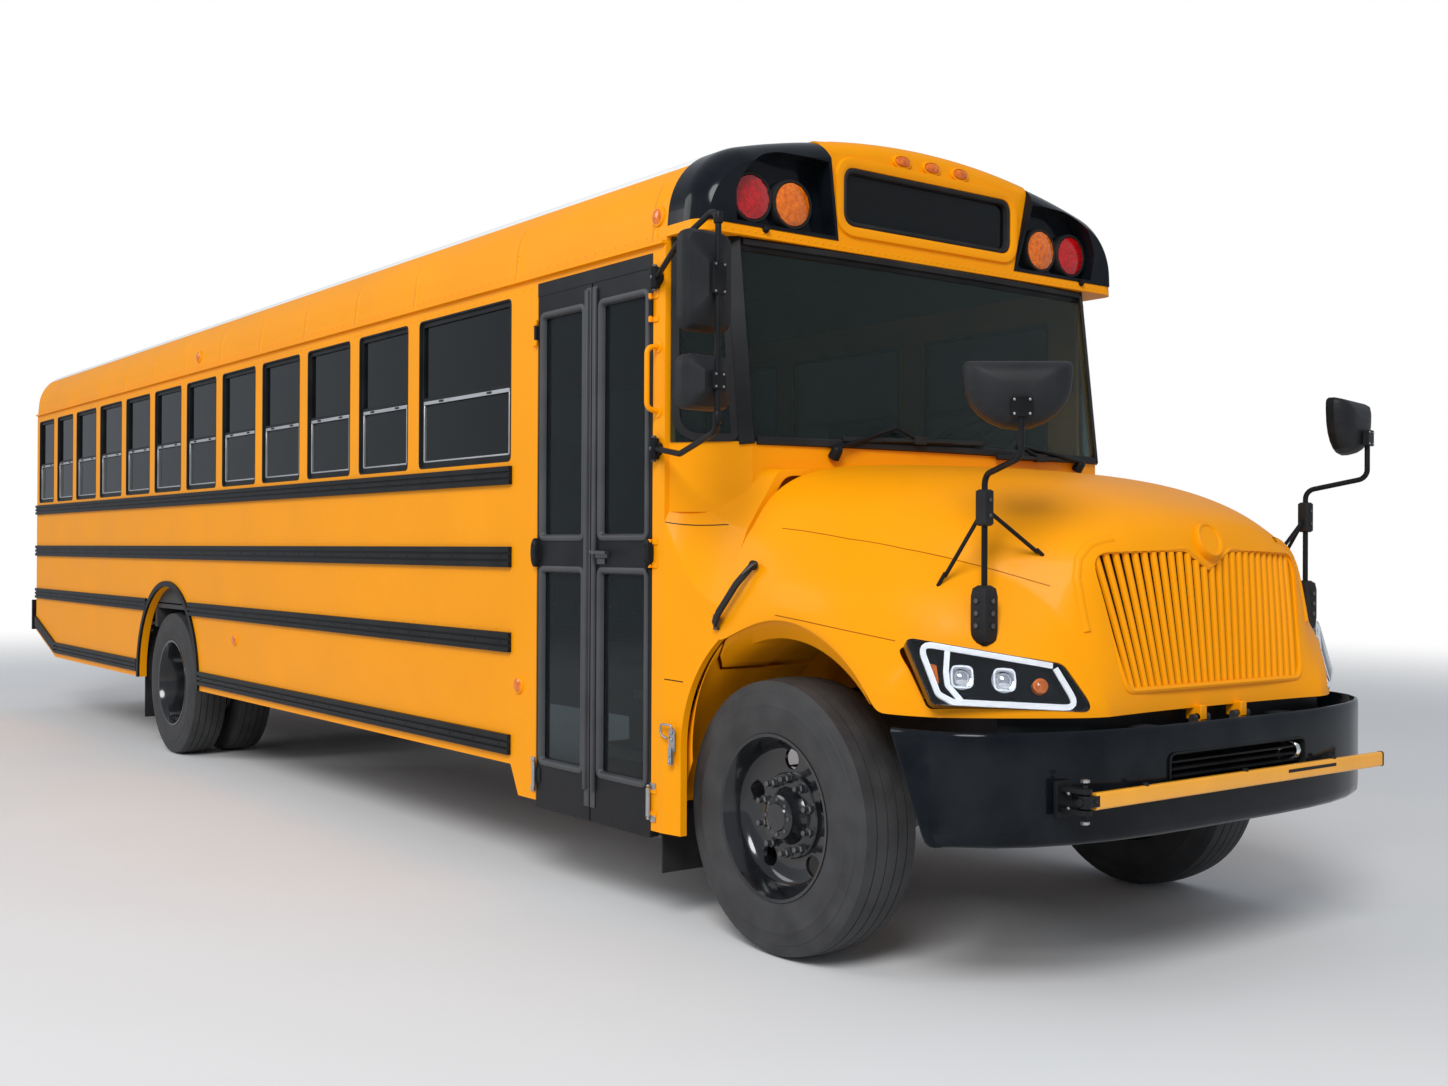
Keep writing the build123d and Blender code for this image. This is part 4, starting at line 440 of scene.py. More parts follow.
softened = {"door_leaf_front": 0.003, "door_leaf_rear": 0.003, "rear_bumper": 0.008,
            "stop_arm_bracket": 0.002, "emergency_door": 0.003}
for look, names in node_looks:
    for node_name in names.split():
        node = frame["nodes"][node_name]
        node.data.materials.clear()
        node.data.materials.append(look)
        if node_name in softened:
            soften(node, softened[node_name], 50)


# Hood: lines from the rear edge over the top and down the front, from the centre line outward
hood_lines = (
    ((-0.105, 0.0, 1.8), (0.15, 0.0, 1.785), (0.4, 0.0, 1.755), (0.62, 0.0, 1.712),
     (0.8, 0.0, 1.662), (0.93, 0.0, 1.615), (1.005, 0.0, 1.56), (1.032, 0.0, 1.475),
     (1.048, 0.0, 1.2), (1.06, 0.0, 0.985), (1.062, 0.0, 0.925)),
    ((-0.115, 0.36, 1.797), (0.15, 0.36, 1.782), (0.4, 0.35, 1.752), (0.62, 0.34, 1.708),
     (0.8, 0.33, 1.655), (0.925, 0.32, 1.605), (0.998, 0.3, 1.545), (1.026, 0.3, 1.468),
     (1.046, 0.28, 1.2), (1.062, 0.27, 0.985), (1.064, 0.27, 0.925)),
    ((-0.14, 0.66, 1.783), (0.15, 0.63, 1.765), (0.4, 0.58, 1.73), (0.62, 0.54, 1.682),
     (0.79, 0.5, 1.625), (0.905, 0.475, 1.572), (0.982, 0.46, 1.518), (1.013, 0.46, 1.462),
     (1.04, 0.42, 1.2), (1.066, 0.39, 0.985), (1.069, 0.385, 0.925)),
    ((-0.155, 0.87, 1.745), (0.15, 0.82, 1.722), (0.4, 0.765, 1.68), (0.61, 0.71, 1.625),
     (0.77, 0.66, 1.56), (0.875, 0.625, 1.515), (0.965, 0.605, 1.475), (0.998, 0.595, 1.435),
     (1.036, 0.545, 1.2), (1.073, 0.5, 0.985), (1.076, 0.495, 0.925)),
    ((-0.165, 1.01, 1.655), (0.15, 0.965, 1.635), (0.39, 0.91, 1.598), (0.6, 0.835, 1.545),
     (0.755, 0.765, 1.48), (0.85, 0.7, 1.425), (0.935, 0.665, 1.385), (0.985, 0.645, 1.33),
     (1.03, 0.6, 1.17), (1.078, 0.56, 0.99), (1.081, 0.555, 0.925)),
    ((-0.172, 1.075, 1.545), (0.15, 1.03, 1.52), (0.38, 0.98, 1.492), (0.59, 0.9, 1.447),
     (0.735, 0.83, 1.4), (0.83, 0.765, 1.352), (0.915, 0.715, 1.298), (0.965, 0.7, 1.235),
     (1.015, 0.67, 1.12), (1.083, 0.62, 0.99), (1.087, 0.61, 0.925)),
    ((-0.182, 1.105, 1.5), (0.13, 1.065, 1.485), (0.37, 1.02, 1.462), (0.585, 0.945, 1.418),
     (0.73, 0.88, 1.362), (0.82, 0.825, 1.303), (0.89, 0.79, 1.24), (0.94, 0.775, 1.18),
     (1.005, 0.76, 1.095), (1.07, 0.7, 0.985), (1.074, 0.69, 0.925)),
    ((-0.205, 1.145, 1.39), (0.1, 1.125, 1.405), (0.35, 1.095, 1.39), (0.56, 1.045, 1.345),
     (0.7, 0.985, 1.29), (0.785, 0.94, 1.235), (0.84, 0.905, 1.19), (0.88, 0.885, 1.155),
     (0.925, 0.865, 1.125), (1.0, 0.81, 0.98), (1.006, 0.8, 0.925)),
    ((-0.232, 1.172, 1.245), (0.06, 1.172, 1.315), (0.3, 1.16, 1.3), (0.48, 1.13, 1.245),
     (0.6, 1.095, 1.2), (0.67, 1.075, 1.18), (0.715, 1.06, 1.17), (0.76, 1.04, 1.16),
     (0.8, 1.0, 1.145), (0.925, 0.92, 0.975), (0.932, 0.91, 0.925)),
    ((-0.25, 1.18, 1.135), (0.03, 1.185, 1.25), (0.255, 1.18, 1.225), (0.415, 1.165, 1.135),
     (0.515, 1.15, 1.055), (0.57, 1.145, 1.02), (0.6, 1.14, 1.03), (0.64, 1.135, 1.06),
     (0.7, 1.1, 1.1), (0.845, 1.02, 0.965), (0.852, 1.01, 0.925)),
    ((-0.25, 1.178, 1.108), (0.02, 1.18, 1.224), (0.245, 1.175, 1.2), (0.403, 1.16, 1.112),
     (0.503, 1.147, 1.01), (0.556, 1.142, 0.925), (0.61, 1.14, 0.925), (0.68, 1.13, 0.925),
     (0.73, 1.11, 0.925), (0.785, 1.075, 0.925), (0.79, 1.07, 0.924)),
)
hood_skin = 0.014

grille_top_half, grille_foot_half = 0.588, 0.497
grille_top, grille_foot = 1.452, 1.003


def grille_edge(margin):
    """Outline of the grille seen from the front, with its V under the boss."""
    top, foot = grille_top + margin, grille_foot - margin
    corners = [(-grille_foot_half - margin, foot), (grille_foot_half + margin, foot),
               (grille_top_half + margin, top), (0.13, top + 0.012), (0.0, top - 0.055),
               (-0.13, top + 0.012), (-grille_top_half - margin, top)]
    return rounded(corners, [0.05, 0.05, 0.07, 0.05, 0.02, 0.05, 0.07])


def hood_front(y, z):
    """Station of the hood's front face at a point seen from the front."""
    rake = (grille_top - z) / (grille_top - grille_foot)
    return 1.022 + 0.034 * rake - 0.055 * (y / grille_top_half) ** 2 * (1 - 1.25 * rake)


lamp_corners = ((0.672, -1.15, 1.168), (0.817, -1.14, 0.972), (1.089, -0.673, 0.942),
                (1.038, -0.758, 1.108))


def lamp_plane():
    """Middle, facing and two directions of the headlamp's plane, and its corners in that plane."""
    corners = [Vector(c) for c in lamp_corners]
    middle = sum(corners, Vector()) / 4
    facing = (corners[2] - corners[0]).cross(corners[3] - corners[1]).normalized()
    along = (corners[2] - corners[1]).normalized()
    up = facing.cross(along)
    flat = [Vector(((c - middle).dot(along), (c - middle).dot(up))) for c in corners]
    return middle, facing, along, up, flat


def lamp_outline(scale, push):
    """Headlamp outline scaled about its middle and moved out along its facing."""
    middle, facing, along, up, flat = lamp_plane()
    return [middle + (along * u + up * v) * scale + facing * push
            for u, v in rounded(flat, [0.022, 0.03, 0.03, 0.05])]


def on_front(outline, push):
    """Outline seen from the front, laid on the hood's front face and pushed out."""
    return [Vector((hood_front(y, z) + push, y, z)) for y, z in outline]


def build_hood():
    """Smooth shell over the hood lines, with the grille and lamp openings cut out."""
    rows = [both_sides([Vector(line[r]) for line in hood_lines]) for r in range(len(hood_lines[0]))]
    shape = Shape().sheet(rows)
    hood = piece("hood_shell", shape, yellow, "hood", levels=3, thick=hood_skin, replaces=("hood",))
    crease = hood.data.attributes.new("crease_edge", "FLOAT", "EDGE")
    width, middle, shoulder = len(rows[0]), len(hood_lines) - 1, 5
    creases = {middle - shoulder: 0.55, middle + shoulder: 0.55, 0: 1.0, width - 1: 1.0}
    for edge in hood.data.edges:
        a, b = (v % width for v in edge.vertices)
        if a == b and a in creases:
            crease.data[edge.index].value = creases[a]
    opening = Shape().rings([on_front(grille_edge(0.0), push) for push in (-0.09, 0.09)])
    cut_out(hood, opening, "grille_opening", 40)
    lamps = Shape().rings([lamp_outline(1.0, push) for push in (-0.15, 0.15)]).mirrored()
    cut_out(hood, lamps, "lamp_openings", 40)
    return hood


def build_grille():
    """Fanned upright blades in a recess, their rear webs painted with the shade between them, with
    a raised rim and the bare boss over the V.
    """
    rim = Shape().rings([on_front(grille_edge(grow), push)
                         for grow, push in ((0.012, -0.012), (0.012, 0.005), (0.004, 0.01),
                                            (-0.006, 0.004), (-0.006, -0.088))], caps=False)
    piece("grille_rim", rim, yellow, "hood", thick=0.002)
    blades, webs = shapes(2)
    per_side = 13
    for hand in hands:
        for n in range(per_side):
            share = (n + 0.5) / per_side
            fronts, backs = [], []
            for t in (0.0, 0.25, 0.5, 0.75, 1.0):
                y = hand * lerp(grille_foot_half - 0.012, grille_top_half - 0.02, t) * share
                top = grille_top + 0.004
                if t == 1.0:  # the blades near the middle end along the V
                    top -= 0.062 * max(0.0, 1 - abs(y) / 0.12)
                z = lerp(grille_foot + 0.004, top, t)
                front = hood_front(y, z) + 0.007
                half = lerp(0.0098, 0.0122, t)
                section = [(-0.016, -half), (-0.006, -half), (-0.001, -half * 0.55),
                           (-0.001, half * 0.55), (-0.006, half), (-0.016, half)]
                fronts.append([Vector((front + u, y + v, z)) for u, v in section])
                # the webs behind the blade fronts carry painted shade for the gaps between the
                # blades
                web = [(-0.085, -0.002), (-0.015, -half * 0.7), (-0.015, half * 0.7),
                       (-0.085, 0.002)]
                backs.append([Vector((front + u, y + v, z)) for u, v in web])
            blades.rings(fronts)
            webs.rings(backs)
    piece("grille_shade_webs", webs, painted_grille_shade, "hood")
    piece("grille_blades", blades, yellow, "hood", replaces=("grille",), smooth=50)
    back = Shape().rings([on_front(grille_edge(0.0), push) for push in (-0.092, -0.086)])
    piece("grille_backing", back, satin_black, "hood")
    boss = Shape()
    centre, facing = Vector((1.022, 0, 1.497)), Vector((0.93, 0, 0.36)).normalized()
    boss.lathe([(-0.02, 0.066), (0.01, 0.066), (0.016, 0.062), (0.014, 0.053), (0.009, 0.05),
                (0.009, 0.001)], centre, facing, 40)
    piece("grille_boss", boss, yellow, "hood", smooth=40)


def build_headlamps():
    """Housing, light guides, optics and lens of each headlamp."""
    guide, dark, optics, amber = shapes(4)
    middle, facing, along, up, flat = lamp_plane()

    def spot(u, v, depth):
        return middle + along * u + up * v + facing * depth

    def nested(*steps):
        return Shape().rings([lamp_outline(scale, push) for scale, push in steps])
    shell = nested((0.995, -0.055), (0.995, -0.004), (0.955, -0.004), (0.935, -0.045))
    lens = nested((0.99, -0.003), (0.985, 0.004), (0.9, 0.009))
    top_out, low_out, low_in, top_in = [f * 0.86 for f in flat]
    run = [top_in.lerp(top_out, 0.01), top_out.lerp(top_in, 0.02), low_out.lerp(top_out, 0.12),
           low_out.lerp(low_in, 0.08), low_in.lerp(low_out, 0.03), top_in.lerp(low_in, 0.05)]
    path = bent([spot(p.x, p.y, -0.012) for p in run], 0.03)
    guide.strip(path, 0.018, 0.01, facing)
    inner = [f * 0.8 for f in flat]
    crescent = [inner[0].lerp(inner[3], 0.2), Vector((-0.172, 0.015)), Vector((-0.168, -0.025)),
                inner[1].lerp(inner[2], 0.12)]
    guide.strip(bent([spot(p.x, p.y, -0.014) for p in crescent], 0.02), 0.017, 0.008, facing)
    size = 0.034
    for u, v in ((0.021, 0.002), (-0.118, 0.005)):
        ring = [spot(u + a, v + b, -0.02)
                for a, b in rectangle(-size, size, -size, size, size * 0.55, 5)]
        guide.strip(ring + [ring[0], ring[1]], 0.005, 0.006, facing, caps=False)
        optics.lathe([(-0.05, size * 0.9), (-0.03, size * 0.86), (-0.026, size * 0.7),
                      (-0.02, size * 0.45), (-0.017, 0.001)], spot(u, v, 0), facing, 28)
        dark.lathe([(-0.05, size * 1.25), (-0.026, size * 1.18), (-0.03, size * 0.95)],
                   spot(u, v, 0), facing, 28)
    amber.lathe([(-0.05, 0.026), (-0.022, 0.024), (-0.015, 0.012), (-0.013, 0.001)],
                spot(0.141, -0.01, 0), facing, 24)
    corner = rounded([(-0.228, 0.045), (-0.206, -0.02), (-0.192, -0.02), (-0.2, 0.04)], 0.006, 3)
    amber.rings([[spot(a, b, depth) for a, b in corner] for depth in (-0.05, -0.022)])
    piece("headlamp_bodies", shell.mirrored(), gloss_black, "hood", replaces=("headlamps",))
    piece("headlamp_guides", guide.mirrored(), light_guide, "hood")
    piece("headlamp_barrels", dark.mirrored(), chrome, "hood")
    piece("headlamp_optics", optics.mirrored(), chrome, "hood")
    piece("headlamp_ambers", amber.mirrored(), amber_lens, "hood")
    piece("headlamp_lenses", lens.mirrored(), lens_clear, "hood")


hood_shell = build_hood()
build_grille()
build_headlamps()


# Wheels
def wheel_spots():
    """Name, station, side, outer face, width, tyres, dish and body of each wheel."""
    for hand, name in ((left, "left"), (right, "right")):
        yield f"front_{name}", 0.0, hand, 1.135, 0.27, 1, 0.03, f"front_wheel_{name}"
        yield f"rear_{name}", rear_axle_x, hand, 1.185, 0.252, 2, -0.145, f"rear_wheels_{name}"


def tyre_profile(half):
    """Section of a tyre from bead to bead with ribs round the tread."""
    wall = [(-0.7 * half, 0.287), (-0.9 * half, 0.302), (-1.0 * half, 0.345),
            (-1.015 * half, 0.378), (-1.0 * half, 0.4), (-1.005 * half, 0.404),
            (-0.985 * half, 0.408), (-0.955 * half, 0.448), (-0.93 * half, 0.452),
            (-0.925 * half, 0.462), (-0.88 * half, 0.478)]
    tread = []
    ribs = 5
    edge = 0.86 * half
    step = 2 * edge / ribs
    for n in range(ribs):
        low = -edge + n * step
        spots = [(u, 0.0) for u in (0.06, 0.5, 0.94)]
        if n < ribs - 1:
            spots += [(u, 0.013) for u in (0.97, 1.03)]
        for u, groove in spots:
            y = low + step if groove else low + u * step
            tread.append((low + u * step, tyre_radius - groove - 0.01 * (y / edge) ** 2))
    return wall + tread + [(-y, r) for y, r in reversed(wall)]


def build_wheels():
    """Tyres, rims with hand holes, hubs and nuts."""
    twin_pitch = 0.318
    for name, station, hand, face, width, tyres, dish, body in wheel_spots():
        tyre, rim, hub, holes, bolts = shapes(5)
        twin = tyres == 2
        axis = Vector((0, hand, 0))
        disc = Vector((station, hand * (face - width / 2 + dish), tyre_radius))

        def on_disc(n, count, turn, radius):
            """Spot n of a circle of parts on the wheel's disc."""
            angle = 2 * math.pi * (n + turn) / count
            return disc + Vector((math.cos(angle), 0, math.sin(angle))) * radius
        for n in range(tyres):
            centre = Vector((station, hand * (face - width / 2 - n * twin_pitch), tyre_radius))
            tyre.lathe(tyre_profile(width / 2), centre, axis, 96, caps=False)
            half = width * 0.42
            d, flip = (dish, 1) if n == 0 else (0.145, -1)
            rim.lathe([(-half - 0.012, 0.3), (-half - 0.006, 0.302), (-half, 0.29),
                       (-half + 0.03, 0.282), (0.0, 0.274), (half - 0.03, 0.282), (half, 0.29),
                       (half + 0.006, 0.302), (half + 0.012, 0.3), (half + 0.01, 0.288),
                       (half - 0.028, 0.268), (d + 0.035 * flip, 0.262), (d + 0.012 * flip, 0.25),
                       (d, 0.232), (d, 0.15), (d - 0.014, 0.15), (d - 0.014, 0.24),
                       (-half + 0.03, 0.262), (-half - 0.01, 0.288)], centre, axis, 72, caps=False)
        piece(f"{name}_tread", tyre, tyre_wall, body,
              replaces=(f"{name}_tyres" if twin else f"{name}_tyre",), thick=0.004, smooth=32)
        wheel = piece(f"{name}_rim", rim, wheel_black, body, smooth=40, replaces=(f"{name}_wheel",))
        for n in range(5):
            holes.lathe([(-0.33 if twin else -0.06, 0.038), (0.05, 0.038)],
                        on_disc(n, 5, 0.25, 0.203), axis, 24)
        cut_out(wheel, holes, "hand_holes", 40)
        reach = 0.12 if twin else 0.062
        hub.lathe([(-0.15, 0.104), (-0.002, 0.104), (0.0, 0.155), (0.01, 0.155), (0.014, 0.15),
                   (0.016, 0.104), (reach * 0.8, 0.08), (reach, 0.078), (reach + 0.004, 0.07),
                   (reach + 0.006, 0.052), (reach + 0.012, 0.048), (reach + 0.012, 0.001)], disc,
                  axis)
        piece(f"{name}_hub", hub, wheel_black, body)
        for n in range(10):
            spot = on_disc(n, 10, 0.5, 0.1335)
            bolts.lathe([(0.008, 0.021), (0.014, 0.021), (0.015, 0.017)], spot, axis, 16)
            bolts.nut(spot + axis * 0.014, axis, 0.0175, 0.022)
            bolts.lathe([(0.03, 0.0105), (0.055, 0.0105), (0.057, 0.008)], spot, axis, 12)
        for n in range(8):
            bolts.nut(on_disc(n, 8, 0, 0.063) + axis * (reach + 0.003), axis, 0.008, 0.007)
        piece(f"{name}_nuts", bolts, dark_steel, body, smooth=30)


build_wheels()


# Side walls, lamps, cap, windscreen and entrance
def rivet_row(shape, start, end, pitch, normal, radius=0.0055, height=0.003):
    """Rivet heads from start to end, about a pitch apart."""
    start, end = Vector(start), Vector(end)
    count = max(1, round((end - start).length / pitch))
    for n in range(count + 1):
        spot = start.lerp(end, n / count)
        shape.lathe([(-0.001, radius), (height * 0.6, radius * 0.8), (height, radius * 0.3)], spot,
                    normal, 6)


def framed(shape, opening, radius, axis, steps, rounds=6):
    """Moulding round an opening (u0, u1, v0, v1): steps are (growth outward, station across)."""
    u0, u1, v0, v1 = opening
    rings = []
    for grow, w in steps:
        outline = rectangle(u0 - grow, u1 + grow, v0 - grow, v1 + grow, radius + grow, rounds)
        rings.append([placed(axis, u, v, w) for u, v in outline])
    return shape.rings(rings, caps=False)


wall_lean, lean_z = 0.0885, 2.61  # the walls lean in above this height


def window_rows(hand):
    """Rear and front station of each side window."""
    rows = [(-2.649, -1.738)]
    rows += [(-3.366 - window_pitch * n, -2.784 - window_pitch * n) for n in range(9)]
    rows += [(-9.674, -9.179), (-10.302, -9.807)]
    if hand == left:
        rows.append((-1.56, -0.7))
    return rows


def build_windows():
    """Sashes, lips, rails and latches of the side windows."""
    trim, lips, latches, bars = shapes(4)
    for hand in hands:
        face, pane = hand * 1.2095, hand * 1.1965
        rail = face if hand == right else face - 0.004
        for rear, front in window_rows(hand):
            low, split_z = 1.876, 2.17
            a, b = rear + 0.026, front - 0.026
            trim.box((a, face, split_z - 0.011), (b, pane, split_z + 0.007))
            for x0, x1 in ((a, a + 0.009), (b - 0.009, b)):
                trim.box((x0, face, low), (x1, pane, split_z - 0.011))
            trim.box((a, face, low), (b, pane, low + 0.008))
            bars.box((a, rail, split_z + 0.007), (b, pane, split_z + 0.022))
            for share in (0.22, 0.78):
                x = lerp(a, b, share)
                latches.box((x - 0.02, face, split_z - 0.006),
                            (x + 0.02, face + hand * 0.004, split_z + 0.004))
            framed(lips, (rear, front, 1.85, 2.567), 0.025, "y",
                   [(0.006, hand * 1.2185), (0.005, hand * 1.2205), (-0.003, hand * 1.2205),
                    (-0.006, hand * 1.2085)], 4)
    piece("window_sashes", trim, aluminium, bevel=0.0015)
    piece("window_lips", lips, satin_black)
    piece("sash_rails", bars, satin_black, bevel=0.002)
    piece("sash_latches", latches, grained_black, bevel=0.0015)


def build_sides():
    """Rivets of the walls and the bows that run over the roof."""
    dots, black_dots, bows = shapes(3)
    for hand in hands:
        out = (0, hand, 0)
        y = hand * wall_y
        gutter_y = y - hand * 0.0055
        front = -1.55 if hand == right else -0.62
        rivet_row(dots, (-10.34, y, 2.588), (front, y, 2.588), 0.075, out)
        rivet_row(dots, (-10.34, gutter_y, 2.668), (-0.6, gutter_y, 2.668), 0.075, out)
        for z in (1.48, 1.358, 1.098, 0.98):
            # the lower rows leave the wheel arch free
            spans = [(-10.34, -1.74)] if z > 1.2 else [(-10.34, -7.2), (-6.02, -1.74)]
            for rear, end in spans:
                rivet_row(dots, (rear, y, z), (end, y, z), 0.1185, out, 0.0045, 0.0022)
        for z, spans in ((1.783, [(-10.3, -1.8)]), (1.419, [(-10.3, -1.8)]),
                         (1.039, [(-10.3, -7.28), (-5.95, -1.8)]),
                         (0.5845, [(-9.6, -7.42), (-5.84, -1.8)])):
            for rear, end in spans:
                rivet_row(black_dots, (rear, hand * 1.237, z), (end, hand * 1.237, z), 0.237, out,
                          0.006, 0.003)
    pillars = [-3.43 - window_pitch * n for n in range(9)]
    # half section of the roof: leaning side, rounded shoulder, crown
    heights = (2.64 + t * 0.1 / 6 for t in range(7))
    profile = [(1.2185 - wall_lean * (z - lean_z), z) for z in heights]
    for t in range(9):
        angle = degrees(5 + t * 69.5 / 8)
        profile.append((0.9085 + 0.2998 * math.cos(angle), 2.7164 + 0.2998 * math.sin(angle)))
    for t in range(1, 13):
        y = 0.985 * (1 - t / 12)
        profile.append((y, -0.56 + math.sqrt(3.6998 ** 2 - y * y)))
    full = [Vector(p) for p in profile + [(-u, v) for u, v in reversed(profile[:-1])]]
    for station in [-0.62, -1.69, -2.716] + pillars + [-9.741, -10.36]:
        rings = []
        for dx, lift in ((-0.022, -0.002), (-0.018, 0.0022), (0.018, 0.0022), (0.022, -0.002)):
            ring = []
            for n, (u, v) in enumerate(full):
                along = heading(full, n)
                out = Vector((along.y, -along.x))
                ring.append((station + dx, u + out.x * lift, v + out.y * lift))
            rings.append(ring)
        bows.sheet(rings)
        for hand in hands:
            rivet_row(dots, (station, hand * 1.2125, 2.7), (station, hand * 1.2075, 2.755), 0.03,
                      (0, hand, 0.09), 0.005, 0.004)
    piece("roof_bows", bows, roof_paint, smooth=50)
    piece("panel_rivets", dots, yellow)
    piece("rail_screws", black_dots, satin_black)


def build_markers():
    """Round reflectors of the sides and marker lamps over the sign."""
    reflectors, rims = shapes(2)
    for hand in hands:
        for x, z in ((-0.6, 2.74), (-5.991, 2.731), (-5.245, 0.872), (-1.648, 0.855)):
            y = 1.2195 - wall_lean * max(0.0, z - 0.03 - lean_z)
            centre = Vector((x, hand * y, z))
            rims.lathe([(-0.004, 0.04), (0.004, 0.039), (0.0085, 0.035), (0.0085, 0.03)], centre,
                       (0, hand, 0), 24, caps=False)
            reflectors.lathe([(0.0, 0.031), (0.009, 0.03), (0.013, 0.024), (0.0155, 0.01),
                              (0.016, 0.001)], centre, (0, hand, 0), 24)
    for y in (-0.17, 0.0, 0.17):
        rims.rings([oval("x", y, 3.065, x, 0.042 + grow, 0.02 + grow) for grow, x in (
            (0.012, -0.341), (0.01, -0.331), (0.003, -0.328), (-0.001, -0.334))], caps=False)
        reflectors.rings([oval("x", y, 3.065, x, 0.042 * share, 0.02 * share) for share, x in (
            (1.0, -0.338), (0.97, -0.328), (0.8, -0.3235), (0.45, -0.321), (0.05, -0.3205))])
    piece("marker_lenses", reflectors, amber_lens, replaces=("marker_lamps",))
    piece("marker_rims", rims, yellow)


def faceted(shape, centre, axis, radius, height):
    """Lamp lens of raised facets."""
    axis = Vector(axis)
    u, v = Vector((0, 1, 0)), Vector((0, 0, 1))
    count = 24
    rings = []
    for n, share in enumerate((1.0, 0.98, 0.84, 0.7, 0.56, 0.42, 0.28, 0.14)):
        ring = []
        for i in range(count):
            angle = 2 * math.pi * i / count
            bump = 0.0035 if (i + n) % 2 and 0 < n < 7 else 0.0
            along = height * (1 - share ** 2) + bump + (0.004 if n else -0.004)
            around = u * math.cos(angle) + v * math.sin(angle)
            ring.append(Vector(centre) + axis * along + around * radius * share)
        rings.append(ring)
    shape.rings(rings)


def build_warning_lamps():
    """Red and amber warning lamps of both ends, and the washer knobs."""
    red, amber, rims, knobs = shapes(4)
    for hand in hands:
        for shape, front_y, rear_y in ((red, 0.935, 0.8425), (amber, 0.73, 0.6375)):
            for centre, axis in ((Vector((-0.374, hand * front_y, 2.815)), (1, 0, 0)),
                                 (Vector((-10.553, hand * rear_y, 2.76)), (-1, 0, 0))):
                faceted(shape, centre, axis, 0.086, 0.016)
                rims.lathe([(-0.028, 0.1), (0.002, 0.1), (0.008, 0.096), (0.008, 0.088),
                            (0.001, 0.086)], centre, axis, 40, caps=False)
    for y, z in ((-0.894, 2.692), (0.968, 2.692)):
        knobs.lathe([(-0.01, 0.016), (0.01, 0.015), (0.016, 0.009), (0.02, 0.004)], (-0.337, y, z),
                    (0.8, 0, -0.3), 14)
    piece("red_lenses", red, red_lens, replaces=("red_warning_lamps",), smooth=8)
    piece("amber_lenses", amber, amber_lens, replaces=("amber_warning_lamps",), smooth=8)
    piece("lamp_rims", rims, rubber)
    piece("washer_knobs", knobs, satin_black)


def build_cap():
    """Band, rivets and blank sign frame of the front cap."""
    band, dots, frame_ring, gasket = shapes(4)
    band.prism(rectangle(-1.15, 1.15, 2.656, 2.692, 0.004, 2), "x", -0.3405, -0.3365)
    rivet_row(dots, (-0.337, -1.13, 2.674), (-0.337, 1.13, 2.674), 0.0375, (1, 0, 0), 0.006, 0.0035)
    rivet_row(dots, (-0.3402, -0.5, 2.712), (-0.3402, 0.5, 2.712), 0.1, (1, 0, 0), 0.005, 0.003)
    sign = (-0.49, 0.49, 2.7625, 2.9975)
    framed(frame_ring, sign, 0.06, "x", [(0.046, -0.3405), (0.04, -0.329), (0.018, -0.327),
                                         (0.002, -0.334), (0.0, -0.366)], 8)
    framed(gasket, sign, 0.06, "x", [(0.001, -0.36), (0.0, -0.337), (-0.008, -0.333),
                                     (-0.018, -0.338), (-0.022, -0.357)], 8)
    piece("cap_band", band, yellow, bevel=0.001)
    piece("cap_rivets", dots, yellow)
    piece("sign_frame", frame_ring, yellow, smooth=30)
    piece("sign_gasket", gasket, rubber)


def screen_share(z):
    """Height on the windscreen as a share from its foot to its head."""
    return (z - 1.866) / 0.789


def screen_point(y, z, proud=0.0):
    """Point of the windscreen's curved face, or that far in front of it."""
    share = screen_share(z)
    middle, edge = lerp(-0.162, -0.345, share), lerp(-0.275, -0.372, share)
    return Vector((middle + (edge - middle) * y * y + proud, y, z))


def screen_row(half, z, proud):
    """Row of points across the windscreen."""
    return [screen_point(lerp(-half, half, n / 32), z, proud) for n in range(33)]


def build_screen():
    """Seals, corner posts and shade band of the windscreen."""
    seals, covers, band = shapes(3)
    tall = 0.034
    for z in (1.853, 2.622):  # foot and head of the glass
        seals.rings([[p + Vector((-0.004, 0, 0)), p + Vector((0.009, 0, 0.004)),
                      p + Vector((0.009, 0, tall * 0.7)), p + Vector((-0.006, 0, tall))]
                     for p in screen_row(0.985, z, 0.002)])
    for hand in hands:
        low, high = screen_point(1.0, 1.855), screen_point(1.0, 2.655)
        path = [Vector((p.x - 0.017, hand * (p.y + 0.012), p.z))
                for p in (low, low.lerp(high, 0.5), high)]
        covers.strip(path, 0.062, 0.016, (0.72, hand * 0.69, 0))
        # seal of the corner pane between the windscreen and the side wall
        foot, head, rear = Vector((-0.318, 1.036)), Vector((-0.414, 1.036)), Vector((-0.528, 1.194))
        path = []
        for u, z in rounded([(0.0075, 1.882), (0.2325, 1.882), (0.2325, 2.64), (0.0075, 2.64)],
                            [0.02, 0.16, 0.05, 0.02], 8):
            spot = foot.lerp(head, screen_share(z)).lerp(rear, u / 0.25)
            path.append(Vector((spot.x, hand * spot.y, z)))
        path += path[:2]
        out = Vector((0.6, hand * 0.8, 0))
        seals.strip([p - out * 0.004 for p in path], 0.03, 0.014, out, caps=False)
    band.sheet([screen_row(0.98, z, 0.0015) for z in (2.6, 2.645)])
    piece("screen_seals", seals, rubber, smooth=40)
    piece("screen_posts", covers, satin_black, bevel=0.003)
    piece("screen_shade", band, satin_black, thick=0.001)


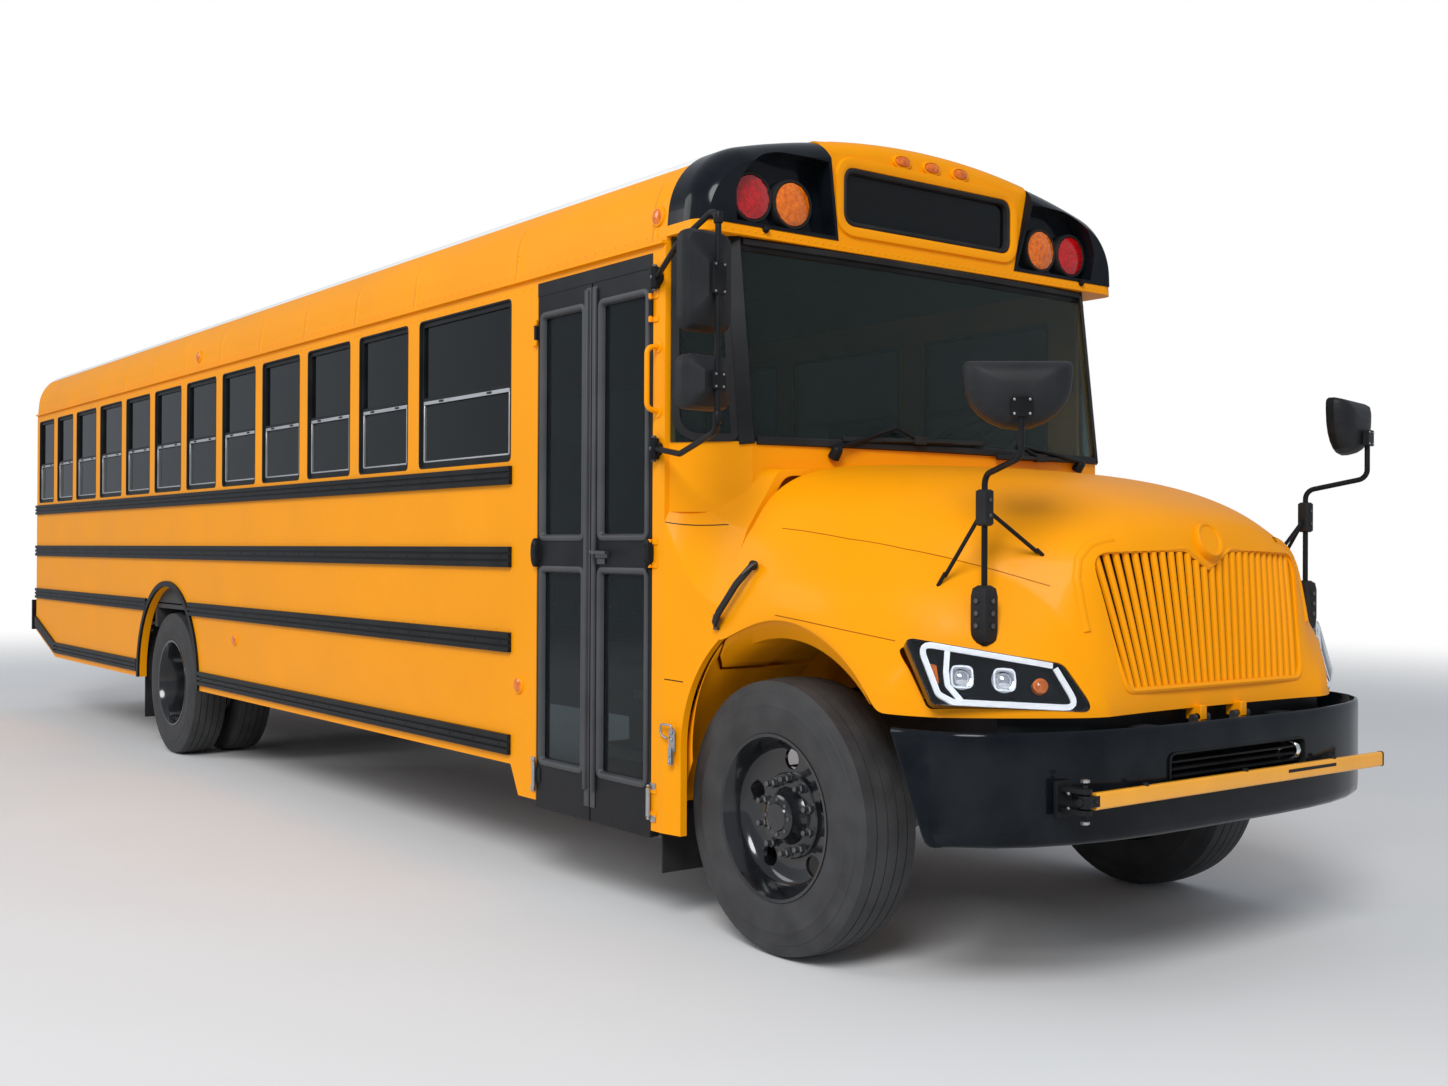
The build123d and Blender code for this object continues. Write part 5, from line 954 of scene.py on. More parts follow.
def build_wipers():
    """Arms and blades of the two wipers."""
    arms, blades = shapes(2)
    for pivot, elbow, ends in (((-0.185, -0.657, 1.838), (-0.168, -0.355, 1.945), (-0.62, 0.12)),
                               ((-0.205, 0.807, 1.842), (-0.176, 0.38, 1.905), (0.2, 0.78))):
        arms.lathe([(-0.03, 0.024), (0.012, 0.022), (0.02, 0.014), (0.024, 0.004)], pivot,
                   (0.6, 0, 0.8), 16)
        middle = Vector(pivot).lerp(Vector(elbow), 0.35) + Vector((0.012, 0, 0.008))
        start = Vector(pivot) + Vector((0.008, 0, 0.012))
        arms.tube(bent([start, middle, elbow], 0.05, 4), 0.0085, 8)
        run = []
        for n in range(13):
            y = lerp(*ends, n / 12)
            run.append(screen_point(y, elbow[2] - 0.055 + (y - elbow[1]) * 0.02, 0.012))
        blades.strip(run, 0.02, 0.014, (1, 0, 0.25))
        blades.strip([p + Vector((0.012, 0, 0)) for p in run[3:10]], 0.012, 0.01, (1, 0, 0.25))
        blades.box((run[6].x - 0.002, run[6].y - 0.03, run[6].z - 0.012),
                   (run[6].x + 0.03, run[6].y + 0.03, run[6].z + 0.02))
        arms.tube([elbow, run[6] + Vector((0.022, 0, 0))], 0.007, 8)
    piece("wiper_arms", arms, satin_black, smooth=50)
    piece("wiper_blades", blades, rubber, bevel=0.002)


def build_doors():
    """Gaskets, seals, stops, hinges and handle of the entrance leaves."""
    latch_metal = Shape()
    for name, pane_rear, pane_front, hinge_x, turn in (("front", -0.9935, -0.664, -0.623, 1),
                                                       ("rear", -1.457, -1.1275, -1.498, -1)):
        body = f"entrance_door_{name}"
        gasket, seal, ends = shapes(3)
        for low, high in ((0.545, 1.365), (1.508, 2.455)):
            pane = (pane_rear, pane_front, low, high)
            framed(gasket, pane, 0.022, "y", [(0.019, -1.2185), (0.017, -1.2245), (0.01, -1.2275),
                                              (0.0, -1.227), (-0.006, -1.2215), (-0.01, -1.2045)])
            framed(gasket, pane, 0.022, "y", [(0.001, -1.1805), (0.0, -1.177), (-0.01, -1.177),
                                              (-0.01, -1.195)])
        rear, front, rib = (-1.0555, -1.02, -1.03) if name == "front" else (-1.102, -1.0655, -1.09)
        seal.box((rear, -1.2235, 0.4), (front, -1.2185, 2.53))
        bulge = [(-0.0125, 0.0), (-0.01, 0.01), (-0.004, 0.014), (0.004, 0.014), (0.01, 0.01),
                 (0.0125, 0.0)]
        seal.rings([[(rib + u, -1.2225 - v, z) for u, v in bulge] for z in (0.47, 1.5, 2.52)])
        seal.box((pane_rear - 0.02, -1.1945, 0.352), (pane_front + 0.02, -1.1815, 0.38))
        piece(f"door_gaskets_{name}", gasket, seal_grey, body, smooth=45)
        piece(f"door_seal_{name}", seal, seal_grey, body, bevel=0.002)
        stop_x, stop_z = hinge_x - turn * 0.008, 1.44
        ends.rings([oval("y", stop_x, stop_z, y, 0.022 * share, 0.062 * share) for share, y in (
            (1.0, -1.2185), (1.0, -1.24), (0.86, -1.246), (0.5, -1.2475), (0.05, -1.248))])
        for dz in (-0.03, 0.03):
            ends.lathe([(-0.001, 0.005), (0.002, 0.004)], (stop_x, -1.248, stop_z + dz), (0, -1, 0),
                       10)
        piece(f"door_stop_{name}", ends, satin_black, body, smooth=40)
        hinge_z = 0.48
        latch_metal.lathe([(-0.0545, 0.0088), (-0.0545, 0.0094), (0.0545, 0.0094),
                           (0.0545, 0.0088)], (hinge_x, -1.231, hinge_z), (0, 0, 1), 16, caps=False)
        for z in (hinge_z - 0.062, hinge_z + 0.062):
            latch_metal.lathe([(-0.006, 0.004), (0.0, 0.0085), (0.006, 0.004)],
                              (hinge_x, -1.231, z), (0, 0, 1), 12)
            latch_metal.box((hinge_x + turn * 0.004, -1.2245, z - 0.012),
                            (hinge_x + turn * 0.036, -1.2188, z + 0.012))
    handle = Shape()
    handle.box((-1.014, -1.23, 1.42), (-0.925, -1.2185, 1.446))
    handle.strip(bent([(-1.0, -1.228, 1.438), (-1.0, -1.262, 1.438), (-0.878, -1.262, 1.436)],
                      0.012, 3), 0.02, 0.012, (0, 0, 1))
    handle.box((-1.01, -1.225, 1.395), (-0.95, -1.2185, 1.418))
    piece("door_handle", handle, dark_steel, "entrance_door_front", bevel=0.003)
    piece("door_hinge_caps", latch_metal, steel)
    header = Shape().box((-1.497, -1.2215, 2.546), (-0.624, -1.2188, 2.603))
    piece("door_header", header, door_black, bevel=0.001)


def build_steps():
    """Grab handle beside the entrance and treads, noses and rail of the step well."""
    pulls, treads, noses = shapes(3)
    pulls.tube(bent([(-0.585, -1.218, 2.237), (-0.585, -1.272, 2.23), (-0.585, -1.272, 1.995),
                     (-0.585, -1.218, 1.987)], 0.03, 6), 0.0105, 12)
    for z in (2.237, 1.987):
        pulls.lathe([(-0.002, 0.026), (0.004, 0.025), (0.006, 0.012)], (-0.585, -1.219, z),
                    (0, -1, 0), 16)
    piece("grab_handle", pulls, yellow, smooth=50)
    for z, y in ((0.37, -1.16), (0.597, -0.942), (0.824, -0.732)):
        noses.box((-1.46, y - 0.006, z - 0.04), (-0.66, y + 0.03, z + 0.003))
        for n in range(6):
            treads.box((-1.45, y + 0.045 + 0.026 * n, z), (-0.67, y + 0.059 + 0.026 * n, z + 0.003))
    for z0, z1, y in ((0.374, 0.556, -0.936), (0.601, 0.783, -0.726), (0.828, 1.01, -0.555)):
        noses.box((-1.46, y - 0.004, z0), (-0.66, y - 0.001, z1))
    noses.tube(bent([(-0.72, -1.1, 0.98), (-0.9, -1.04, 1.3), (-0.9, -0.8, 1.55)], 0.1, 5), 0.012,
               10)
    piece("step_treads", treads, floor_rubber)
    piece("step_noses", noses, tread_trim, bevel=0.001)


for build in (build_windows, build_sides, build_markers, build_warning_lamps, build_cap,
              build_screen, build_wipers, build_doors, build_steps):
    build()


# Nose, mirrors, rear, inside and underside
def snap(node, point):
    """Nearest spot of an object's surface to a point, and the surface's facing there."""
    back = node.matrix_world.inverted()
    _, spot, normal, _ = node.closest_point_on_mesh(back @ (Vector(point) + origin))
    return node.matrix_world @ spot - origin, (node.matrix_world.to_3x3() @ normal).normalized()


def laid(shape, node, points, width, height):
    """Narrow strip that follows an object's surface under a row of points."""
    steps = 10
    row = [Vector(a).lerp(Vector(b), n / steps) for a, b in zip(points, points[1:])
           for n in range(steps)]
    spots, normals = zip(*(snap(node, p) for p in row + [points[-1]]))
    rings = []
    for n, (spot, normal) in enumerate(zip(spots, normals)):
        across = normal.cross(heading(spots, n)).normalized()
        rings.append([spot + across * a * width / 2 + normal * b
                      for a, b in ((-1, -0.001), (-0.6, height), (0.6, height), (1, -0.001))])
    return shape.rings(rings)


def build_nose_details():
    """Painted shade along the hood's creases; lips, straps and tabs of the hood; and the flange and
    hasp of the cowl.
    """
    seams, straps, hooks, tabs, valance, lips, flange, creases = shapes(8)
    cowl = frame["nodes"]["cowl"]
    for hand in hands:
        # thin dark amber strips laid along the hood's creases: painted shade in the folds
        laid(creases, hood_shell, [(-0.1, hand * 1.055, 1.535), (0.074, hand * 1.04, 1.524),
                                   (0.279, hand * 1.009, 1.495), (0.491, hand * 0.945, 1.461),
                                   (0.691, hand * 0.849, 1.415), (0.83, hand * 0.755, 1.371),
                                   (0.913, hand * 0.698, 1.342)], 0.004, 0.001)
        laid(creases, hood_shell, [(0.084, hand * 1.18, 1.227), (0.236, hand * 1.176, 1.212),
                                   (0.435, hand * 1.148, 1.186), (0.602, hand * 1.096, 1.16)],
             0.004, 0.001)
        laid(lips, hood_shell, [(1.03, hand * 0.64, 1.2), (1.0, hand * 0.662, 1.38),
                                (0.985, hand * 0.64, 1.452), (0.975, hand * 0.56, 1.492),
                                (0.985, hand * 0.33, 1.508), (0.995, hand * 0.12, 1.512)], 0.03,
             0.0075)
        laid(seams, cowl, [(-0.535, hand * 1.22, 1.562), (-0.3, hand * 1.12, 1.562)], 0.005, 0.0012)
        laid(seams, cowl, [(-0.535, hand * 1.22, 0.96), (-0.44, hand * 1.2, 0.955)], 0.005, 0.0012)
        strap = bent([(-0.075, hand * 1.15, 1.4), (-0.12, hand * 1.19, 1.33),
                      (-0.205, hand * 1.205, 1.225), (-0.245, hand * 1.192, 1.18)], 0.03, 4)
        straps.strip(strap, 0.026, 0.012, (0, hand, 0.1))
        straps.lathe([(-0.006, 0.018), (0.012, 0.017), (0.016, 0.01)], strap[0], (0, hand, 0.2), 14)
        hooks.strip([(-0.245, hand * 1.188, 1.182), (-0.232, hand * 1.19, 1.212)], 0.04,
                    0.01, (0, hand, 0))
        hooks.tube(bent([(-0.06, hand * 1.15, 1.41), (-0.06, hand * 1.172, 1.4),
                         (-0.098, hand * 1.184, 1.368), (-0.105, hand * 1.165, 1.36)], 0.008, 3),
                   0.005, 8)
        hooks.box((-0.262, hand * 1.176, 1.16), (-0.242, hand * 1.192, 1.196))
        tabs.box((1.03, hand * 0.099, 0.884), (1.092, hand * 0.133, 0.935))
        tabs.lathe([(-0.017, 0.017), (0.017, 0.017)], (1.075, hand * 0.116, 0.893), (0, 1, 0), 20)
    rear = [Vector(line[0]) for line in hood_lines[:-1]]
    inner = [Vector((0, -p.y, 1.25 - p.z)).normalized() * 0.026 for p in rear]
    edges = [[p + q * deep + Vector((shift, 0, 0)) for p, q in zip(rear, inner)]
             for shift, deep in ((0.03, 1.0), (-0.06, 1.2))]
    for hand in hands:
        flange.sheet([[(p.x, hand * p.y, p.z) for p in edge] for edge in edges])
    piece("cowl_flange", flange, yellow, thick=0.004)
    path = both_sides([Vector((line[-1][0] - 0.055, line[-1][1], 0.845))
                       for line in hood_lines[:9]])
    valance.strip(path, 0.004, 0.085, (0, 0, 1))
    hasp, loop = shapes(2)
    hasp.box((-0.5, -1.2225, 0.69), (-0.462, -1.219, 0.775))
    hasp.box((-0.492, -1.233, 0.64), (-0.47, -1.219, 0.705))
    for z in (0.76, 0.735, 0.675, 0.65):
        hasp.nut((-0.481, -1.2225 if z > 0.7 else -1.233, z), (0, -1, 0), 0.007, 0.005)
    loop.tube(bent([(-0.466, -1.228, 0.768), (-0.466, -1.236, 0.792), (-0.535, -1.236, 0.79),
                    (-0.542, -1.232, 0.75), (-0.5, -1.23, 0.738)], 0.02, 5), 0.0045, 8)
    piece("hood_crease_shade", creases, painted_crease_shade, "hood")
    piece("hood_lips", lips, yellow, "hood", smooth=60)
    piece("cowl_seams", seams, satin_black)
    piece("hood_straps", straps, rubber, "hood", bevel=0.002)
    piece("hood_hooks", hooks, dark_steel, bevel=0.001)
    piece("hood_tabs", tabs, yellow, "hood", bevel=0.003)
    piece("front_valance", valance, satin_black)
    piece("cowl_hasp", hasp, steel, bevel=0.001)
    piece("cowl_hasp_loop", loop, steel, smooth=60)


def build_liners():
    """Yellow liners of the front wheel arches, part on the hood and part on the cowl."""
    rows = ((0.08, 0.706, 0.524, 1.15), (0.045, 0.6, 0.585, 1.118), (0.02, 0.54, 0.602, 1.08),
            (0.02, 0.54, 0.602, 0.86), (0.02, 0.54, 0.609, 0.855), (0.02, 0.54, 0.609, 0.63))
    for name, body, start, end in (("hood_liners", "hood", 42, 128),
                                   ("cowl_liners", coach, 130, 186)):
        liner = Shape()
        angles = [degrees(lerp(start, end, n / 28)) for n in range(29)]
        for hand in hands:
            liner.sheet([[(x + radius * math.cos(a), hand * y, z + radius * math.sin(a))
                          for a in angles] for x, z, radius, y in rows])
        piece(name, liner, yellow, body, thick=0.003, smooth=40)


bumper_plan = ((0.0, 1.157), (0.25, 1.156), (0.45, 1.149), (0.62, 1.132), (0.78, 1.1),
               (0.92, 1.052), (1.03, 0.992), (1.11, 0.915), (1.16, 0.83), (1.185, 0.735),
               (1.19, 0.66), (1.19, 0.64))


def build_bumper():
    """Curved bumper with its louvred slot and the ears of the crossing arm."""
    path = both_sides([Vector((x, y, 0)) for y, x in bumper_plan])
    section = [(-0.05, 0.53), (-0.03, 0.53), (-0.012, 0.535), (-0.002, 0.548), (0.0, 0.57),
               (0.0, 0.69), (0.0, 0.8), (0.0, 0.862), (-0.001, 0.878), (-0.004, 0.887),
               (-0.009, 0.891), (-0.014, 0.891), (-0.014, 0.888), (-0.011, 0.886), (-0.009, 0.876),
               (-0.008, 0.85), (-0.008, 0.572), (-0.012, 0.546), (-0.03, 0.538), (-0.05, 0.537)]
    rings = []
    for n, point in enumerate(path):
        along = heading(path, n)
        out = Vector((along.y, -along.x, 0))
        from_end = min(n, len(path) - 1 - n)
        ring = []
        for u, z in section:
            spot = point + out * u + Vector((0, 0, z))
            slant = 0.668 + (0.904 - z) * 0.46  # rear edge of the ends, raked under the fender
            if from_end == 0:
                spot.x = slant
            elif abs(point.y) > 1.1:
                spot.x = max(spot.x, slant + 0.004 * (from_end + 1))
            ring.append(spot)
        rings.append(ring)
    bumper = piece("bumper_shell", Shape().rings(rings), gloss_black, replaces=("front_bumper",))
    slot = (-0.39, 0.39, 0.698, 0.796)
    cut_out(bumper, Shape().prism(rectangle(*slot, 0.03), "x", 1.05, 1.25), "bumper_slot", 38)
    bars, ears, tray = shapes(3)
    for n in (1, 2, 3):
        z = 0.698 + n * 0.0245
        bars.prism([(1.1, z - 0.004), (1.142, z - 0.01), (1.144, z - 0.003), (1.102, z + 0.004)],
                   "y", -0.4, 0.4)
    framed(bars, slot, 0.03, "x", [(0.004, 1.156), (0.003, 1.1595), (-0.003, 1.1595),
                                   (-0.005, 1.146), (-0.005, 1.095)])
    tray.prism(rectangle(-0.41, 0.41, 0.68, 0.81, 0.03, 4), "x", 1.088, 1.092)
    for low in (0.648, 0.713):
        ears.prism(rounded([(1.095, -0.828), (1.195, -0.828), (1.208, -0.85), (1.195, -0.872),
                            (1.095, -0.872)], 0.01, 3), "z", low, low + 0.015)
    ears.lathe([(-0.052, 0.008), (0.052, 0.008)], (1.184, -0.85, 0.688), (0, 0, 1), 16)
    ears.box((1.088, -0.885, 0.632), (1.104, -0.815, 0.744))
    piece("bumper_louvres", bars, satin_black, bevel=0.001)
    piece("bumper_tray", tray, satin_black)
    piece("arm_ears", ears, satin_black, bevel=0.002)


def build_crossing_arm():
    """Folded crossing arm with its knuckle, bolts and hook."""
    bar, knuckle, pads = shapes(3)
    bar.prism(rectangle(1.1755, 1.2005, 0.66, 0.714, 0.01, 4), "y", -0.815, 0.841)
    for y in (-0.56, -0.02, 0.52):
        pads.lathe([(0.0, 0.011), (0.008, 0.01), (0.01, 0.004)], (1.188, y, 0.713), (0, 0, 1), 12)
    pads.prism(rectangle(1.1745, 1.2015, 0.659, 0.715, 0.01, 4), "y", 0.835, 0.8425)
    pads.box((1.199, 0.22, 0.688), (1.2015, 0.52, 0.699))
    knuckle.lathe([(-0.0195, 0.021), (0.0195, 0.021)], (1.184, -0.85, 0.688), (0, 0, 1), 24)
    knuckle.box((1.166, -0.85, 0.6705), (1.202, -0.8, 0.7055))
    knuckle.lathe([(0.0, 0.012), (0.012, 0.012)], (1.184, -0.868, 0.688), (0, -1, 0), 18)
    pads.nut((1.202, -0.82, 0.688), (1, 0, 0), 0.007, 0.005)
    piece("crossing_bar", bar, arm_yellow, "crossing_arm", replaces=("crossing_arm",), smooth=40)
    piece("crossing_knuckle", knuckle, satin_black, "crossing_arm", bevel=0.002)
    piece("crossing_pads", pads, rubber, "crossing_arm")
    caps, hook = shapes(2)
    for z, up in ((0.748, 1), (0.628, -1)):
        caps.nut((1.184, -0.85, z), (0, 0, up), 0.014, 0.01)
    for z in (0.662, 0.712):
        caps.nut((1.135, -0.867, z), (0, -1, 0), 0.007, 0.005)
    ring = [(1.118 + 0.034 * math.cos(a), 0.345 + 0.01 * math.cos(a), 0.752 + 0.03 * math.sin(a))
            for a in (degrees(-60 + 30 * n) for n in range(11))]
    hook.tube([(1.06, 0.335, 0.735)] + ring, 0.01, 10)
    hook.lathe([(-0.015, 0.022), (0.012, 0.022), (0.016, 0.014)], (1.085, 0.338, 0.744), (1, 0, 0),
               16)
    piece("crossing_bolts", caps, steel)
    piece("tow_hook", hook, chrome, smooth=60)


def screw_plate(shape, screws, centre, out, across, up, width, height, thick):
    """Small plate with a screw at each corner."""
    radius, inset = 0.0045, 0.009
    centre, out, across, up = Vector(centre), Vector(out), Vector(across), Vector(up)
    flat = rectangle(-width / 2, width / 2, -height / 2, height / 2, 0.006, 3)
    shape.rings([[centre + across * u + up * v + out * w for u, v in flat]
                 for w in (-0.002, thick)])
    for a in (-1, 1):
        for b in (-1, 1):
            spot = centre + out * thick
            spot += across * a * (width / 2 - inset) + up * b * (height / 2 - inset)
            screws.lathe([(-0.001, radius), (0.0025, radius * 0.9), (0.003, radius * 0.4)], spot,
                         out, 10)


def build_mirrors():
    """Heads and mounts of the side mirrors."""
    shells, glass_faces, plates, screws, blocks, bolts, rims = shapes(7)
    for hand, shift in ((right, 0.0), (left, -1.05)):
        for middle, height, width, depth in ((2.378, 0.35, 0.205, 0.09), (2.03, 0.19, 0.205, 0.1)):
            tall = height > 0.25
            y, x = hand * 1.45, 0.0885 + shift

            def face(w, h, radius, back):
                return [Vector((x - back, y + u, middle + v))
                        for u, v in rectangle(-w / 2, w / 2, -h / 2, h / 2, radius)]

            def head(*rows):
                """Rings of the head: rows are (share of width, share of height, radius, depth)."""
                return [face(width * a, height * b, radius, back) for a, b, radius, back in rows]
            boss = (0.058, 0.13) if tall else (0.09, 0.07)
            shells.rings([face(*boss, 0.008, 0.0)] + head(
                (0.86, 0.9, 0.035, 0.03), (0.97, 0.975, 0.045, 0.05), (1, 1, 0.048, 0.062),
                (1, 1, 0.048, depth - 0.006), (0.975, 0.985, 0.045, depth)))
            rims.rings(head((0.97, 0.98, 0.044, depth), (0.965, 0.975, 0.043, depth + 0.004),
                            (0.9, 0.93, 0.036, depth + 0.004), (0.89, 0.925, 0.035, depth - 0.002)),
                       caps=False)
            glass_faces.rings(head((0.9, 0.93, 0.036, depth + 0.0005),
                                   (0.6, 0.62, 0.02, depth + 0.0022),
                                   (0.1, 0.1, 0.002, depth + 0.003)))
            size = (0.056, 0.11) if tall else (0.05, 0.06)
            screw_plate(plates, screws, (x + 0.012, y, middle), (1, 0, 0), (0, 1, 0), (0, 0, 1),
                        *size, 0.0125)
        for z in (2.5, 1.842):
            foot = Vector((shift - 0.585, hand * 1.238, z))
            blocks.lathe([(-0.042, 0.016), (-0.038, 0.02), (0.038, 0.02), (0.042, 0.016)], foot,
                         (0, 0, 1), 18)
            for up in (-1, 1):
                bolts.nut(foot + Vector((0, 0, up * 0.043)), (0, 0, up), 0.01, 0.008)
            bolts.nut(foot + Vector((0.004, hand * 0.0165, 0)), (0, hand, 0), 0.008, 0.006)
        for z in (2.585, 1.905):
            blocks.lathe([(-0.02, 0.0145), (-0.016, 0.0165), (0.016, 0.0165), (0.02, 0.0145)],
                         (0.1 + shift, hand * 1.45, z), (0, 0, 1), 16)
    piece("mirror_shells", shells, grained_black, replaces=("side_mirror_heads",), smooth=22)
    piece("mirror_rims", rims, satin_black)
    piece("mirror_faces", glass_faces, mirror_glass, smooth=60)
    piece("mirror_plates", plates, satin_black, bevel=0.002)
    piece("mirror_screws", screws, steel)
    piece("mirror_blocks", blocks, satin_black)
    piece("mirror_bolts", bolts, dark_steel)


def half_moon(scale):
    """Outline of a cross-view mirror, flat on top and round below."""
    corners = [(-0.17, 0.0), (0.17, 0.0), (0.17, -0.045)]
    for n in range(1, 12):
        angle = math.pi * n / 12
        corners.append((0.17 * math.cos(angle), -0.045 - 0.168 * math.sin(angle) ** 0.9))
    corners.append((-0.17, -0.045))
    middle = -0.105
    ring = rounded(corners, [0.028, 0.028] + [0.02] * (len(corners) - 2), 4)
    return [(u * scale, middle + (v - middle) * scale) for u, v in ring]


def build_cross_mirrors():
    """Heads, boots and legs of the cross-view mirrors on the hood."""
    shells, faces, rims, plates, screws, boots, bolts, legs = shapes(8)
    arms = frame["nodes"]["crossview_mirror_arms"]
    for hand, turn in ((right, 40.0), (left, 13.0)):
        angle = degrees(hand * turn)
        up = Vector((0, 0, 1))
        facing = Vector((math.cos(angle), math.sin(angle), 0))
        across = up.cross(facing)
        top = Vector((1.04, hand * 0.985, 2.05))

        def head(*rows):
            """Rings of the head: rows are (scale, depth behind its top)."""
            return [[top + across * u + up * v - facing * back for u, v in half_moon(scale)]
                    for scale, back in rows]
        shells.rings(head((0.3, 0.001), (0.62, 0.006), (0.84, 0.02), (0.95, 0.04), (1.0, 0.06),
                          (1.0, 0.084), (0.985, 0.088)))
        rims.rings(head((0.985, 0.06), (1.012, 0.066), (1.012, 0.086), (0.97, 0.094),
                        (0.94, 0.088)), caps=False)
        faces.rings(head((0.955, 0.088), (0.84, 0.096), (0.6, 0.103), (0.3, 0.106), (0.05, 0.107)))
        screw_plate(plates, screws, top - up * 0.15 + facing * 0.004, facing, across, up, 0.066,
                    0.062, 0.022)
        post = Vector((0.83, hand * 0.92, 0))
        for radius, rows in ((0.014, ((0.02, 1.15), (0.031, 1.166), (0.034, 1.2), (0.034, 1.31),
                                      (0.03, 1.335), (0.018, 1.345))),
                             (0.009, ((0.016, 1.536), (0.0225, 1.542), (0.0225, 1.648),
                                      (0.016, 1.654)))):
            boots.rings([[post + Vector((u, v, z)) for u, v in rectangle(-h, h, -h, h, radius, 5)]
                         for h, z in rows])
        for z in (1.215, 1.255, 1.295):
            bolts.nut(post + Vector((0.034, 0, z)), (1, 0, 0), 0.009, 0.007)
            bolts.nut(post + Vector((0, hand * 0.034, z)), (0, hand, 0), 0.009, 0.007)
        for z in (1.57, 1.62):
            bolts.nut(post + Vector((0.0225, 0, z)), (1, 0, 0), 0.007, 0.006)
        for x, y, z in ((0.643, 0.95, 1.32), (0.86, 0.66, 1.43)):
            foot = Vector((x, hand * y, z))
            lean = (post + Vector((0, 0, 1.595)) - foot).normalized()
            end, _ = snap(arms, foot)
            spot, out = snap(hood_shell, foot)
            legs.tube([end + lean * 0.02, spot], 0.0068, 10)
            boots.lathe([(-0.002, 0.02), (0.006, 0.019), (0.013, 0.009)], spot, out, 16)
    piece("cross_shells", shells, grained_black, "hood", replaces=("crossview_mirror_heads",),
          smooth=50)
    piece("cross_rims", rims, satin_black, "hood")
    piece("cross_faces", faces, mirror_glass, "hood", smooth=70)
    piece("cross_plates", plates, satin_black, "hood", bevel=0.002)
    piece("cross_screws", screws, steel, "hood")
    piece("cross_legs", legs, satin_black, "hood", smooth=60)
    piece("cross_boots", boots, rubber, "hood", smooth=45)
    piece("cross_bolts", bolts, dark_steel, "hood")


def node_box(name):
    """Lowest and highest corner of a CAD node's box, in the axes of the pieces."""
    node = frame["nodes"][name]
    corners = [node.matrix_world @ Vector(c) - origin for c in node.bound_box]
    return [Vector([pick(c[i] for c in corners) for i in range(3)]) for pick in (min, max)]


def build_rear():
    """Gaskets, lamps, handle and blank plate of the rear wall."""
    gasket, fixed, lenses, ambers, bezels, handle, dots, marks = shapes(8)
    back = (-1, 0, 0)
    low, high = node_box("emergency_door_glass")
    framed(gasket, (low.y, high.y, low.z, high.z), 0.03, "x",
           [(0.02, tail_x), (0.017, -10.508), (0.004, -10.51), (-0.01, -10.503), (-0.012, -10.482)])
    for hand in hands:
        framed(fixed, (hand * 0.8 - 0.2, hand * 0.8 + 0.2, 1.9385, 2.5385), 0.025, "x",
               [(0.02, tail_x), (0.017, -10.507), (0.004, -10.509), (-0.01, -10.502),
                (-0.012, -10.478)])
        for lens, y, z, r in ((lenses, 0.8, 1.42, 0.088), (ambers, 0.99, 1.42, 0.06),
                              (lenses, 0.99, 1.2, 0.088)):
            centre = Vector((-10.525, hand * y, z))
            lens.lathe([(-0.006, r - 0.006), (0.003, r - 0.008), (0.008, r * 0.75),
                        (0.011, r * 0.4), (0.012, 0.001)], centre, back, 36)
            for share in (0.3, 0.5, 0.7):
                lens.lathe([(0.006, r * share + 0.004), (0.0135 - share * 0.004, r * share),
                            (0.006, r * share - 0.004)], centre, back, 36, caps=False)
            bezels.lathe([(-0.026, r + 0.014), (-0.006, r + 0.013), (0.002, r + 0.006),
                          (0.003, r - 0.004), (-0.004, r - 0.007)], centre, back, 40, caps=False)
        marks.prism(rectangle(hand * 1.02 - 0.035, hand * 1.02 + 0.035, 0.995, 1.04, 0.006, 3), "x",
                    -10.5075, tail_x)
        for z in (1.74, 1.1):
            rivet_row(dots, (tail_x, hand * 0.52, z), (tail_x, hand * 1.06, z), 0.06, back)
    plate = Shape().prism(rectangle(-0.92, -0.62, 1.235, 1.385, 0.008, 3), "x", -10.502, tail_x)
    handle.lathe([(-0.01, 0.035), (0.008, 0.034), (0.014, 0.022)], (-10.503, 0.355, 1.6), back, 24)
    handle.tube(bent([(-10.512, 0.355, 1.6), (-10.545, 0.355, 1.6), (-10.548, 0.19, 1.595)], 0.02,
                     5), [0.012] * 7 + [0.01], 10)
    handle.box((-10.5045, 0.31, 1.545), (tail_x, 0.4, 1.655))
    piece("rear_door_gasket", gasket, rubber, "rear_door")
    piece("rear_pane_gaskets", fixed, rubber)
    piece("tail_lenses", lenses, red_lens, replaces=("tail_lamps",))
    piece("turn_lenses", ambers, amber_lens)
    piece("tail_bezels", bezels, satin_black)
    piece("rear_marks", marks, red_lens, bevel=0.002)
    piece("rear_rivets", dots, yellow)
    piece("rear_handle", handle, satin_black, "rear_door", bevel=0.002)
    piece("blank_plate", plate, sign_white, bevel=0.001)


